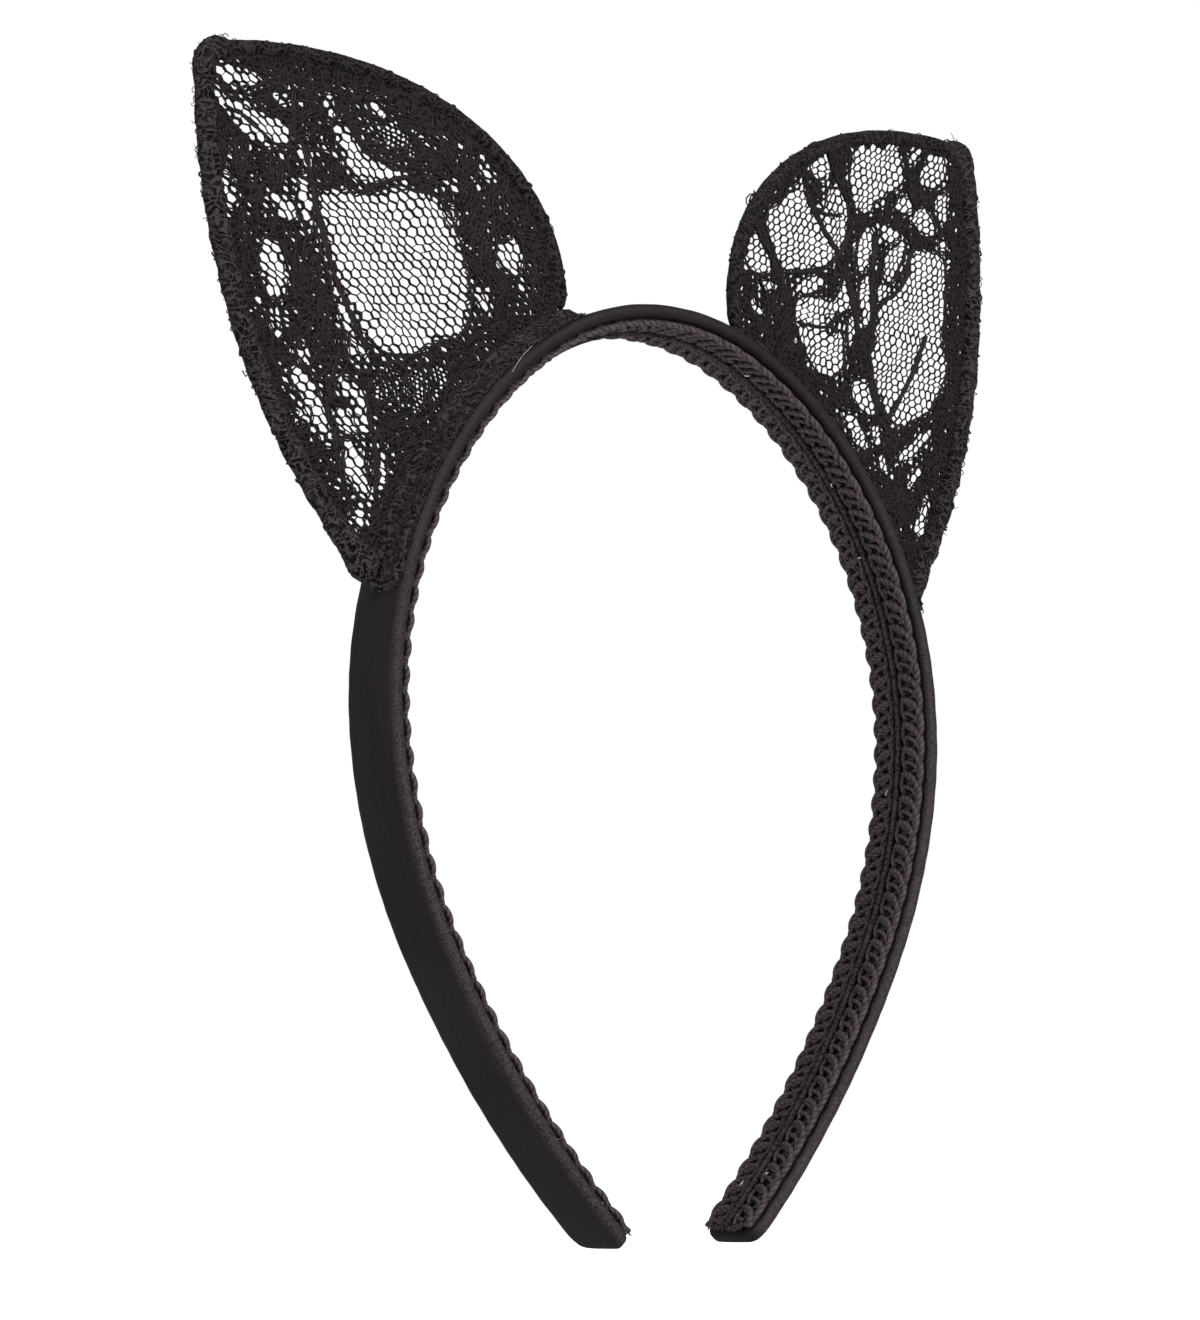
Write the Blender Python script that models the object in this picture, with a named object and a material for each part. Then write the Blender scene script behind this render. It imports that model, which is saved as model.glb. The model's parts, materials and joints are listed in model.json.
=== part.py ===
"""Animal ears headband: a satin covered hoop with two wired lace ears.

Metres, +Z up, -Y is the front edge. The origin is where the crown rests on a head.
"""

import math

import bmesh
import bpy
from mathutils import Matrix, Vector

# ---------------------------------------------------------------- driving dimensions
MM = 0.001

# Outer line of the hoop from the crown down one side: radius and turn of each arc.
HOOP_ARCS = (
    (38.6 * MM, 30.6),
    (61.4 * MM, 18.4),
    (72.0 * MM, 22.6),
    (74.1 * MM, 24.0),
    (93.2 * MM, 18.9),
    (175.4 * MM, 18.6),
)
STATION_STEP = 4.0 * MM

BAND_WIDTH = 14.0 * MM
COVER_DEPTH = 2.1 * MM
COVER_WALL = 0.35 * MM
COVER_CHAMFER = 0.45 * MM
COVER_SLOT = 2.4 * MM
TIP_RADIUS = 3.2 * MM
TIP_WALL = 0.8 * MM
CORE_GAP = 0.2 * MM

GIMP_GAP = 0.15 * MM
GIMP_EDGE = 0.95 * MM
GIMP_RIDGE = 1.45 * MM
GIMP_HALF = 5.5 * MM
GIMP_SCALLOP = 0.9 * MM
GIMP_RIDGE_HALF = 1.1 * MM
GIMP_PITCH = 4.3 * MM
GIMP_STEPS = 4
GIMP_SHORT = 1.0 * MM
GIMP_INSET = 0.4 * MM

HINGE_AT = 78.0 * MM
HINGE_GAP = 0.15 * MM

# Ear plane: y = EAR_Y + EAR_TURN * x + EAR_LEAN * z on the +X side.
EAR_Y = -4.5 * MM
EAR_TURN = 0.1375
EAR_LEAN = 0.057
# Wire line of the ear in x and height over the crown: upper side, tip, lower side.
WIRE_NEAR = ((17.1, -1.3), (15.7, 22.0), (38.5, 39.8), (71.4, 36.7))
WIRE_TIP = ((71.4, 36.7), (75.2, 36.4), (74.9, 33.0))
WIRE_FAR = ((74.9, 33.0), (75.8, 4.5), (69.5, -22.0), (52.2, -44.6))
WIRE_RADIUS = 0.6 * MM
WIRE_CLEAR = 0.9 * MM
BINDING_NEAR = 1.25 * MM
BINDING_FAR = 1.7 * MM
BINDING_SLOT = 0.55 * MM
PANEL_THICKNESS = 0.5 * MM
PANEL_INSET = 1.1 * MM

# Bend line of the ear, parallel to the line between its two lower corners.
CORNER_NEAR = (15.8, -0.8)
CORNER_FAR = (55.3, -45.6)
BEND_OFFSET = 5.1 * MM

FLANGE_LOW = 0.6 * MM
FLANGE_HIGH = 1.3 * MM
FLANGE_FRONT = -6.4 * MM
FLANGE_BACK = 2.6 * MM
ROOT_FROM = 15.0 * MM
ROOT_TO = 74.0 * MM
GLUE_LOW = 0.1 * MM
GLUE_HIGH = 0.5 * MM
GLUE_FRONT = -5.8 * MM
GLUE_BACK = 2.0 * MM
GLUE_INSET = 1.5 * MM

SEAT_DEPTH = COVER_DEPTH + GIMP_GAP + GIMP_RIDGE

MATERIALS = {
    "satin_black": ((0.019, 0.016, 0.017), 0.42, 0.0),
    "gimp_black": ((0.026, 0.021, 0.021), 0.70, 0.0),
    "hoop_plastic": ((0.012, 0.012, 0.013), 0.45, 0.0),
    "wire_steel": ((0.060, 0.058, 0.056), 0.40, 0.9),
    "lace_black": ((0.013, 0.011, 0.012), 0.75, 0.0),
    "lace_binding": ((0.015, 0.012, 0.013), 0.80, 0.0),
    "hot_melt": ((0.550, 0.520, 0.440), 0.35, 0.0),
}


# ---------------------------------------------------------------- scene set up
def clear_scene():
    for old in list(bpy.data.objects):
        bpy.data.objects.remove(old, do_unlink=True)


def make_materials():
    made = {}
    for name, (colour, roughness, metallic) in MATERIALS.items():
        mat = bpy.data.materials.new(name)
        mat.use_nodes = True
        shader = mat.node_tree.nodes["Principled BSDF"]
        shader.inputs["Base Color"].default_value = (*colour, 1.0)
        shader.inputs["Roughness"].default_value = roughness
        shader.inputs["Metallic"].default_value = metallic
        mat.diffuse_color = (*colour, 1.0)
        made[name] = mat
    return made


def add_object(name, bm, material):
    bmesh.ops.recalc_face_normals(bm, faces=bm.faces)
    mesh = bpy.data.meshes.new(name)
    bm.to_mesh(mesh)
    bm.free()
    obj = bpy.data.objects.new(name, mesh)
    bpy.context.scene.collection.objects.link(obj)
    if material is not None:
        obj.data.materials.append(material)
    return obj


# ---------------------------------------------------------------- hoop line
def hoop_length():
    return sum(radius * math.radians(turn) for radius, turn in HOOP_ARCS)


def hoop_line(s):
    """Point of the outer line and its outward direction, at length s from the crown."""
    side = -1.0 if s < 0 else 1.0
    left = abs(s)
    x, z, heading = 0.0, SEAT_DEPTH, 0.0
    for radius, turn in HOOP_ARCS:
        step = min(left, radius * math.radians(turn)) / radius
        x += radius * (math.sin(heading + step) - math.sin(heading))
        z += radius * (math.cos(heading + step) - math.cos(heading))
        heading += step
        left -= step * radius
        if left <= 1e-9:
            break
    return Vector((side * x, 0.0, z)), Vector((side * math.sin(heading), 0.0, math.cos(heading)))


def at_depth(s, y, depth):
    point, out = hoop_line(s)
    return point - out * depth + Vector((0.0, y, 0.0))


def spaced(start, stop, step):
    count = max(1, round(abs(stop - start) / step))
    return [start + (stop - start) * i / count for i in range(count + 1)]


def tip_scale(s):
    """Width of the band at s as a share of its full width; the leg tips are rounded."""
    half = BAND_WIDTH / 2
    short = max(0.0, TIP_RADIUS - (hoop_length() - abs(s)))
    return (half - TIP_RADIUS + math.sqrt(max(0.0, TIP_RADIUS**2 - short**2))) / half


def add_ring(bm, points):
    return [bm.verts.new(p) for p in points]


def join_rings(bm, first, second):
    count = len(first)
    for i in range(count):
        j = (i + 1) % count
        bm.faces.new((first[i], first[j], second[j], second[i]))


def cover_outline():
    """Outer points of the cover section as (y, depth), from one slot lip to the other."""
    half = BAND_WIDTH / 2
    cut = COVER_CHAMFER
    deep = COVER_DEPTH
    lip = COVER_SLOT / 2
    right = [(lip, deep), (half - cut, deep), (half, deep - cut), (half, cut), (half - cut, 0.0)]
    return right + [(-y, d) for y, d in reversed(right)]


def cover_inside():
    """Inner points of the cover section, from the second lip back to the first."""
    half = BAND_WIDTH / 2 - COVER_WALL
    low = COVER_WALL
    deep = COVER_DEPTH - COVER_WALL
    lip = COVER_SLOT / 2
    left = [(-lip, deep), (-half, deep), (-half, low)]
    return left + [(-y, d) for y, d in reversed(left)]


def cover_ring(bm, s, outline):
    scale = tip_scale(s)
    return add_ring(bm, [at_depth(s, y * scale, d) for y, d in outline])


def make_cover(name, start, stop, tipped, material):
    """A ribbon sleeve round the hoop, open along a slot inside; one end may be closed."""
    bm = bmesh.new()
    outer = cover_outline()
    section = outer + cover_inside()
    wall = hoop_length() - TIP_WALL
    end = math.copysign(wall, stop) if tipped else stop
    stations = spaced(start, end, STATION_STEP)
    if tipped:
        turn = math.copysign(hoop_length() - TIP_RADIUS, stop)
        near = math.copysign(hoop_length() - TIP_RADIUS * 0.55, stop)
        stations = spaced(start, turn, STATION_STEP) + [near, end]
    rings = [cover_ring(bm, s, section) for s in stations]
    for first, second in zip(rings, rings[1:]):
        join_rings(bm, first, second)
    bm.faces.new(rings[0])
    if not tipped:
        bm.faces.new(rings[-1])
        return add_object(name, bm, material)
    last = rings[-1]
    count = len(outer)
    bm.faces.new([last[count - 1]] + last[count:] + [last[0]])
    skin = last[:count]
    for back in (0.3 * MM, 0.0):
        ring = cover_ring(bm, math.copysign(hoop_length() - back, stop), outer)
        join_rings(bm, skin, ring)
        skin = ring
    bm.faces.new(skin)
    return add_object(name, bm, material)


def make_core(name, start, stop, tipped, material):
    bm = bmesh.new()
    half = BAND_WIDTH / 2 - COVER_WALL - CORE_GAP
    low = COVER_WALL + CORE_GAP
    deep = COVER_DEPTH - COVER_WALL - CORE_GAP
    section = [(half, deep), (half, low), (-half, low), (-half, deep)]
    stations = spaced(start, stop, STATION_STEP)
    if tipped:
        turn = math.copysign(hoop_length() - TIP_RADIUS, stop)
        near = math.copysign(hoop_length() - TIP_RADIUS * 0.55, stop)
        end = math.copysign(hoop_length() - TIP_WALL - CORE_GAP, stop)
        stations = spaced(start, turn, STATION_STEP) + [near, end]
    rings = [cover_ring(bm, s, section) for s in stations]
    for first, second in zip(rings, rings[1:]):
        join_rings(bm, first, second)
    bm.faces.new(rings[0])
    bm.faces.new(rings[-1])
    return add_object(name, bm, material)


def make_gimp(name, start, stop, material):
    """A scalloped braid strip with a raised middle, on the inside of the cover."""
    bm = bmesh.new()
    top = COVER_DEPTH + GIMP_GAP
    rings = []
    for s in spaced(start, stop, GIMP_PITCH / GIMP_STEPS):
        half = GIMP_HALF + GIMP_SCALLOP * abs(math.sin(math.pi * s / GIMP_PITCH))
        half = min(half, tip_scale(s) * BAND_WIDTH / 2 - GIMP_INSET)
        right = [(half, top), (half, top + GIMP_EDGE), (GIMP_RIDGE_HALF, top + GIMP_RIDGE)]
        section = right + [(-y, d) for y, d in reversed(right)]
        rings.append(add_ring(bm, [at_depth(s, y, d) for y, d in section]))
    for first, second in zip(rings, rings[1:]):
        join_rings(bm, first, second)
    bm.faces.new(rings[0])
    bm.faces.new(rings[-1])
    return add_object(name, bm, material)


def make_pad(name, side, start, stop, low, high, front, back, material):
    """A strip lying on the outer face of the band."""
    bm = bmesh.new()
    rings = []
    for s in spaced(start, stop, STATION_STEP):
        corners = [(front, -low), (back, -low), (back, -high), (front, -high)]
        rings.append(add_ring(bm, [at_depth(side * s, y, d) for y, d in corners]))
    for first, second in zip(rings, rings[1:]):
        join_rings(bm, first, second)
    bm.faces.new(rings[0])
    bm.faces.new(rings[-1])
    return add_object(name, bm, material)


# ---------------------------------------------------------------- ear lines
def on_ear(side, x, z):
    """A point of the ear plane, from x and z on the +X side."""
    return Vector((side * x, EAR_Y + EAR_TURN * x + EAR_LEAN * z, z))


def ear_normal(side):
    return Vector((side * EAR_TURN, -1.0, EAR_LEAN)).normalized()


def bezier(points, t):
    line = [Vector(p) for p in points]
    while len(line) > 1:
        line = [a.lerp(b, t) for a, b in zip(line, line[1:])]
    return line[0]


def wire_line():
    """The wire as (x, z) points over the seat, from the upper foot round to the lower."""
    raised = SEAT_DEPTH / MM
    line = []
    for points, count in ((WIRE_NEAR, 30), (WIRE_TIP, 6), (WIRE_FAR, 30)):
        for i in range(count + 1):
            x, z = bezier(points, i / count)
            if line and i == 0:
                continue
            line.append((x * MM, (z + raised) * MM))
    return line


def bend_frame():
    """Middle, direction and outward direction of the bend line as (x, z) vectors."""
    raised = Vector((0.0, SEAT_DEPTH))
    near = Vector(CORNER_NEAR) * MM + raised
    far = Vector(CORNER_FAR) * MM + raised
    along = (far - near).normalized()
    out = Vector((-along.y, along.x))
    return (near + far) / 2 + out * BEND_OFFSET, along, out


def over_bend(point):
    middle, _, out = bend_frame()
    return (Vector(point) - middle).dot(out)


def cut_line(line, start_over, end_over, inside):
    """The part of a wire line over the bend by the given amounts, or its two feet."""
    cuts = []
    for i, (a, b) in enumerate(zip(line, line[1:])):
        limit = start_over if i < len(line) / 2 else end_over
        ha, hb = over_bend(a) - limit, over_bend(b) - limit
        if (ha < 0.0) != (hb < 0.0):
            cuts.append((i, Vector(a).lerp(Vector(b), ha / (ha - hb))))
    (first, p), (last, q) = cuts[0], cuts[-1]
    if inside:
        return [tuple(p)] + line[first + 1 : last + 1] + [tuple(q)]
    return line[: first + 1] + [tuple(p)], [tuple(q)] + line[last + 1 :]


def drop_close(line, least):
    kept = [line[0]]
    for p in line[1:-1]:
        if (Vector(p) - Vector(kept[-1])).length >= least:
            kept.append(p)
    if (Vector(line[-1]) - Vector(kept[-1])).length < least * 0.5:
        kept.pop()
    kept.append(line[-1])
    return kept


def sides_of(line):
    """For each (x, z) point, the unit direction to the inside of the ear."""
    found = []
    for i in range(len(line)):
        a = Vector(line[max(0, i - 1)])
        b = Vector(line[min(len(line) - 1, i + 1)])
        along = (b - a).normalized()
        found.append(Vector((along.y, -along.x)))
    return found


def sweep_ear(name, side, line, section, material):
    """Sweep (inward, normal) points along a line of the ear plane."""
    bm = bmesh.new()
    normal = ear_normal(side)
    rings = []
    for (x, z), inward in zip(line, sides_of(line)):
        centre = on_ear(side, x, z)
        step = on_ear(side, x + inward.x * MM, z + inward.y * MM) - centre
        step.normalize()
        rings.append(add_ring(bm, [centre + step * a + normal * b for a, b in section]))
    for first, second in zip(rings, rings[1:]):
        join_rings(bm, first, second)
    bm.faces.new(rings[0])
    bm.faces.new(rings[-1])
    return add_object(name, bm, material)


def round_section(radius, count):
    turn = 2 * math.pi / count
    angles = [(i + 0.5) * turn for i in range(count)]
    return [(radius * math.cos(a), radius * math.sin(a)) for a in angles]


def channel_section(radius):
    """A ring section with a slot to the inside of the ear."""
    start = math.asin(BINDING_SLOT / radius)
    inner = math.asin(BINDING_SLOT / WIRE_CLEAR)
    outer_turn = 2 * math.pi - 2 * start
    inner_turn = 2 * math.pi - 2 * inner
    outer = [start + outer_turn * i / 7 for i in range(8)]
    back = [2 * math.pi - inner - inner_turn * i / 5 for i in range(6)]
    points = [(radius * math.cos(a), radius * math.sin(a)) for a in outer]
    return points + [(WIRE_CLEAR * math.cos(a), WIRE_CLEAR * math.sin(a)) for a in back]


def make_sheet(name, side, outline, thickness, material):
    """A flat sheet of the ear plane with the given (x, z) outline."""
    bm = bmesh.new()
    normal = ear_normal(side) * thickness / 2
    front = add_ring(bm, [on_ear(side, x, z) + normal for x, z in outline])
    back = add_ring(bm, [on_ear(side, x, z) - normal for x, z in outline])
    join_rings(bm, front, back)
    bm.faces.new(front)
    bm.faces.new(back)
    return add_object(name, bm, material)


def panel_outline():
    line = cut_line(wire_line(), 0.3 * MM, 0.3 * MM, True)
    line = drop_close(line, 1.2 * MM)
    moved = []
    for p, inward in zip(line, sides_of(line)):
        moved.append(Vector(p) + inward * PANEL_INSET)
    middle, along, out = bend_frame()
    kept = [p for p in moved if (p - middle).dot(out) > 0.5 * MM]
    ends = []
    for p in (kept[0], kept[-1]):
        ends.append(middle + along * (p - middle).dot(along) + out * 0.3 * MM)
    return [tuple(ends[0])] + [tuple(p) for p in kept] + [tuple(ends[1])]


def root_outline():
    """Between the band and the bend line, as far as the feet of the wire."""
    near, far = cut_line(wire_line(), -0.25 * MM, -0.25 * MM, False)
    top = [near[-1], far[0]]
    base = []
    for s in spaced(ROOT_TO - 3.2 * MM, ROOT_FROM + 3.0 * MM, STATION_STEP):
        p = at_depth(s, 0.0, -(FLANGE_LOW + FLANGE_HIGH) / 2)
        base.append((p.x, p.z))
    return [near[0]] + top + far[1:] + base


# ---------------------------------------------------------------- booleans
def combine(target, others, operation):
    for other in others:
        mod = target.modifiers.new("join", "BOOLEAN")
        mod.operation = operation
        mod.solver = "EXACT"
        mod.object = other
        other.hide_render = True
        other.display_type = "WIRE"


def make_root(side, name, mats):
    """The lace between band and bend line, with its pad and two sockets for the wire."""
    sheet = make_sheet(name, side, root_outline(), PANEL_THICKNESS, mats["lace_black"])
    pad = make_pad(
        name + "_pad_tool", side, ROOT_FROM, ROOT_TO,
        FLANGE_LOW, FLANGE_HIGH, FLANGE_FRONT, FLANGE_BACK, None,
    )
    rolls = []
    sockets = []
    near, far = cut_line(wire_line(), -1.2 * MM, -1.0 * MM, False)
    near = drop_close(near, 0.9 * MM)
    far = drop_close(far, 0.9 * MM)
    open_near, open_far = cut_line(wire_line(), 1.5 * MM, 1.5 * MM, False)
    for label, roll, socket, radius in (
        ("inner", near, open_near, BINDING_NEAR),
        ("outer", far, open_far, BINDING_FAR),
    ):
        section = round_section(radius, 8)
        rolls.append(sweep_ear(f"{name}_{label}_roll_tool", side, roll, section, None))
        inner = round_section(WIRE_CLEAR, 6)
        reach = foot_reach(drop_close(socket, 0.9 * MM), label == "inner", -0.5 * MM)
        sockets.append(sweep_ear(f"{name}_{label}_socket_tool", side, reach, inner, None))
    combine(sheet, [pad] + rolls, "UNION")
    combine(sheet, sockets, "DIFFERENCE")
    return sheet


def foot_reach(line, at_start, back):
    """A foot line shortened from its lower end by -back."""
    ordered = line if at_start else line[::-1]
    left = -back
    while len(ordered) > 2 and (Vector(ordered[1]) - Vector(ordered[0])).length <= left:
        left -= (Vector(ordered[1]) - Vector(ordered[0])).length
        ordered = ordered[1:]
    a, b = Vector(ordered[0]), Vector(ordered[1])
    start = a.lerp(b, left / (b - a).length)
    ordered = [tuple(start)] + ordered[1:]
    return ordered if at_start else ordered[::-1]


# ---------------------------------------------------------------- assembly
def make_band(mats):
    end = hoop_length()
    top = HINGE_AT - HINGE_GAP
    low = HINGE_AT + HINGE_GAP
    made = {"crown": [], "left_arm": [], "right_arm": []}
    made["crown"].append(make_core("crown_core", -top, top, False, mats["hoop_plastic"]))
    made["crown"].append(make_cover("crown_cover", -top, top, False, mats["satin_black"]))
    made["crown"].append(make_gimp("crown_gimp", -top, top, mats["gimp_black"]))
    for side, label in ((-1.0, "left"), (1.0, "right")):
        arm = made[f"{label}_arm"]
        start = side * low
        stop = side * end
        short = side * (end - GIMP_SHORT)
        arm.append(make_core(f"{label}_arm_core", start, stop, True, mats["hoop_plastic"]))
        arm.append(make_cover(f"{label}_arm_cover", start, stop, True, mats["satin_black"]))
        arm.append(make_gimp(f"{label}_arm_gimp", start, short, mats["gimp_black"]))
    return made


def make_ear(side, label, mats):
    """The bending part of one ear, and the part that stays on the crown."""
    line = wire_line()
    wire = drop_close(cut_line(line, 0.75 * MM, 0.75 * MM, True), 1.8 * MM)
    sleeve = cut_line(line, 1.4 * MM, 1.75 * MM, True)
    corner = max(range(len(sleeve)), key=lambda i: sleeve[i][0] + sleeve[i][1])
    split = next(i for i in range(corner, 0, -1) if sleeve[i][0] < WIRE_NEAR[3][0] * MM)
    near = drop_close(sleeve[: split + 1], 1.9 * MM)
    shift = (Vector(sleeve[split + 1]) - Vector(sleeve[split])).normalized() * 0.3 * MM
    first = tuple(Vector(sleeve[split]) + shift)
    far = drop_close([first] + sleeve[split + 1 :], 1.4 * MM)
    moving = [
        sweep_ear(f"{label}_ear_wire", side, wire, round_section(WIRE_RADIUS, 6), mats["wire_steel"]),
        sweep_ear(
            f"{label}_ear_binding_inner", side, near,
            channel_section(BINDING_NEAR), mats["lace_binding"],
        ),
        sweep_ear(
            f"{label}_ear_binding_outer", side, far,
            channel_section(BINDING_FAR), mats["lace_binding"],
        ),
        make_sheet(
            f"{label}_ear_panel", side, panel_outline(), PANEL_THICKNESS, mats["lace_black"],
        ),
    ]
    fixed = [make_root(side, f"{label}_ear_root", mats)]
    near_foot, far_foot = cut_line(line, -0.8 * MM, -0.6 * MM, False)
    for part, foot in (("inner", near_foot), ("outer", far_foot)):
        short = foot_reach(drop_close(foot, 0.9 * MM), part == "inner", -0.8 * MM)
        fixed.append(
            sweep_ear(
                f"{label}_ear_foot_{part}", side, short,
                round_section(WIRE_RADIUS, 6), mats["wire_steel"],
            )
        )
    fixed.append(
        make_pad(
            f"{label}_ear_glue", side, ROOT_FROM + GLUE_INSET, ROOT_TO - GLUE_INSET,
            GLUE_LOW, GLUE_HIGH, GLUE_FRONT, GLUE_BACK, mats["hot_melt"],
        )
    )
    return moving, fixed


def put_origin(obj, origin):
    obj.data.transform(Matrix.Translation(-origin))
    obj.location = origin


def main():
    clear_scene()
    mats = make_materials()
    made = make_band(mats)
    origins = {"crown": Vector((0.0, 0.0, 0.0))}
    for side, label in ((-1.0, "left"), (1.0, "right")):
        origins[f"{label}_arm"] = hoop_line(side * HINGE_AT)[0]
        moving, fixed = make_ear(side, label, mats)
        made[f"{label}_ear"] = moving
        made["crown"] += fixed
        middle = bend_frame()[0]
        origins[f"{label}_ear"] = on_ear(side, middle.x, middle.y)
    for body, objects in made.items():
        for obj in objects:
            if not obj.modifiers:
                put_origin(obj, origins[body])


main()
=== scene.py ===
import json
import math
import random
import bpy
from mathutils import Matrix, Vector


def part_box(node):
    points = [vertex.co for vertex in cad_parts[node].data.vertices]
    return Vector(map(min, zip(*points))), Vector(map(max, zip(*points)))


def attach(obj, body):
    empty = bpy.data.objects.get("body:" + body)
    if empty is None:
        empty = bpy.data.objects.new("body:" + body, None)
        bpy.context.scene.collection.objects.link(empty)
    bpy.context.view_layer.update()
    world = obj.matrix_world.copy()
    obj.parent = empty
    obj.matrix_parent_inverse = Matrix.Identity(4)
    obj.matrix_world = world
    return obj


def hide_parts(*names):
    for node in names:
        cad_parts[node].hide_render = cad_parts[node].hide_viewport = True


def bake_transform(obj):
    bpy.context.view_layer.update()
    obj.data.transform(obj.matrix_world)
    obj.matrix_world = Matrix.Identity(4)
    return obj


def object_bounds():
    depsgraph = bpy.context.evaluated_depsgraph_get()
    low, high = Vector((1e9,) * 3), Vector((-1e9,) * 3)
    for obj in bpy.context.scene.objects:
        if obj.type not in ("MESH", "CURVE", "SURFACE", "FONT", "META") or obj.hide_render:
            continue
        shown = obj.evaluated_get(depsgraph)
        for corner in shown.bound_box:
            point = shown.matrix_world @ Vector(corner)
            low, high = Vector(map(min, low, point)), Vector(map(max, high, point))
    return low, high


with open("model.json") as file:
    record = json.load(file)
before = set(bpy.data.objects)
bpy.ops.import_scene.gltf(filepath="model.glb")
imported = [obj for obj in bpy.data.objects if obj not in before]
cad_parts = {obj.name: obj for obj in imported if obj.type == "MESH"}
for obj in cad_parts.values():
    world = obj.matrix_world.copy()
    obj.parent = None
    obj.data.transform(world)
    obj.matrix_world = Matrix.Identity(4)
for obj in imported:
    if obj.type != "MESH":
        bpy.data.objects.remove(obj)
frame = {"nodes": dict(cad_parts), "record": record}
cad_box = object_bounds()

from types import SimpleNamespace

import bpy
import numpy as np
from mathutils import Matrix, Vector, geometry, noise

MM = 0.001

# ---------------------------------------------------------------- shape shared with the CAD
# The hoop's outer line from the crown down one side: arcs by radius and turn in degrees.
HOOP_ARCS = (
    (38.6 * MM, 30.6),
    (61.4 * MM, 18.4),
    (72.0 * MM, 22.6),
    (74.1 * MM, 24.0),
    (93.2 * MM, 18.9),
    (175.4 * MM, 18.6),
)
HOOP_LENGTH = sum(radius * math.radians(turn) for radius, turn in HOOP_ARCS)
SEAT_DEPTH = 3.7 * MM
HALF_BAND = (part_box("crown_cover")[1][1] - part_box("crown_cover")[0][1]) / 2
COVER_DEPTH = 2.1 * MM
TIP_RADIUS = 3.2 * MM
GIMP_PITCH = 4.3 * MM
# The legs' hinges along the hoop, and how far the flex reaches on each side of them.
HINGE_AT = 78.0 * MM
FLEX_REACH = 16.0 * MM
# The plane of the ears: y at the middle, its turn along x and its lean along z.
EAR_Y = -4.5 * MM
EAR_TURN = 0.1375
EAR_LEAN = 0.057
# The ear's wire and its two corners, as (x, z) in mm with z over the seat.
WIRE_NEAR = ((17.1, -1.3), (15.7, 22.0), (38.5, 39.8), (71.4, 36.7))
WIRE_TIP = ((71.4, 36.7), (75.2, 36.4), (74.9, 33.0))
WIRE_FAR = ((74.9, 33.0), (75.8, 4.5), (69.5, -22.0), (52.2, -44.6))
# Where the ear's base starts and ends along the hoop, and its middle height over the band.
ROOT_FROM = 15.0 * MM
ROOT_TO = 74.0 * MM
ROOT_HEIGHT = 0.9 * MM


def hoop_line(s):
    """Point of the hoop's outer line and its outward direction, s from the crown."""
    side = -1.0 if s < 0 else 1.0
    left = abs(s)
    x, z, heading = 0.0, SEAT_DEPTH, 0.0
    for radius, turn in HOOP_ARCS:
        step = min(left, radius * math.radians(turn)) / radius
        x += radius * (math.sin(heading + step) - math.sin(heading))
        z += radius * (math.cos(heading + step) - math.cos(heading))
        heading += step
        left -= step * radius
        if left <= 1e-9:
            break
    return Vector((side * x, 0.0, z)), Vector((side * math.sin(heading), 0.0, math.cos(heading)))


def at_depth(s, y, depth):
    """A point at s along the hoop, y across the band and depth below its outer line."""
    point, out = hoop_line(s)
    return point - out * depth + Vector((0.0, y, 0.0))


def tip_scale(s):
    """How wide the band is at s, as a share of its full width."""
    short = min(TIP_RADIUS, max(0.0, TIP_RADIUS - (HOOP_LENGTH - abs(s))))
    return (HALF_BAND - TIP_RADIUS + math.sqrt(max(0.0, TIP_RADIUS**2 - short**2))) / HALF_BAND


def on_ear(side, x, z, w=0.0):
    """A point of the ear, from x and z on the +X side and w towards the front, in metres."""
    point = Vector((side * x, EAR_Y + EAR_TURN * x + EAR_LEAN * z, z))
    return point + Vector((side * EAR_TURN, -1.0, EAR_LEAN)).normalized() * w


def bezier(points, t):
    line = [Vector(p) for p in points]
    while len(line) > 1:
        line = [a.lerp(b, t) for a, b in zip(line, line[1:])]
    return line[0]


def wire_line(count):
    """The wire as (x, z) in mm, from the upper foot round to the lower."""
    line = []
    for points, number in ((WIRE_NEAR, count), (WIRE_TIP, 10), (WIRE_FAR, count)):
        for i in range(1 if line else 0, number + 1):
            x, z = bezier(points, i / number)
            line.append(Vector((x, z + SEAT_DEPTH / MM)))
    return line


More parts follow.
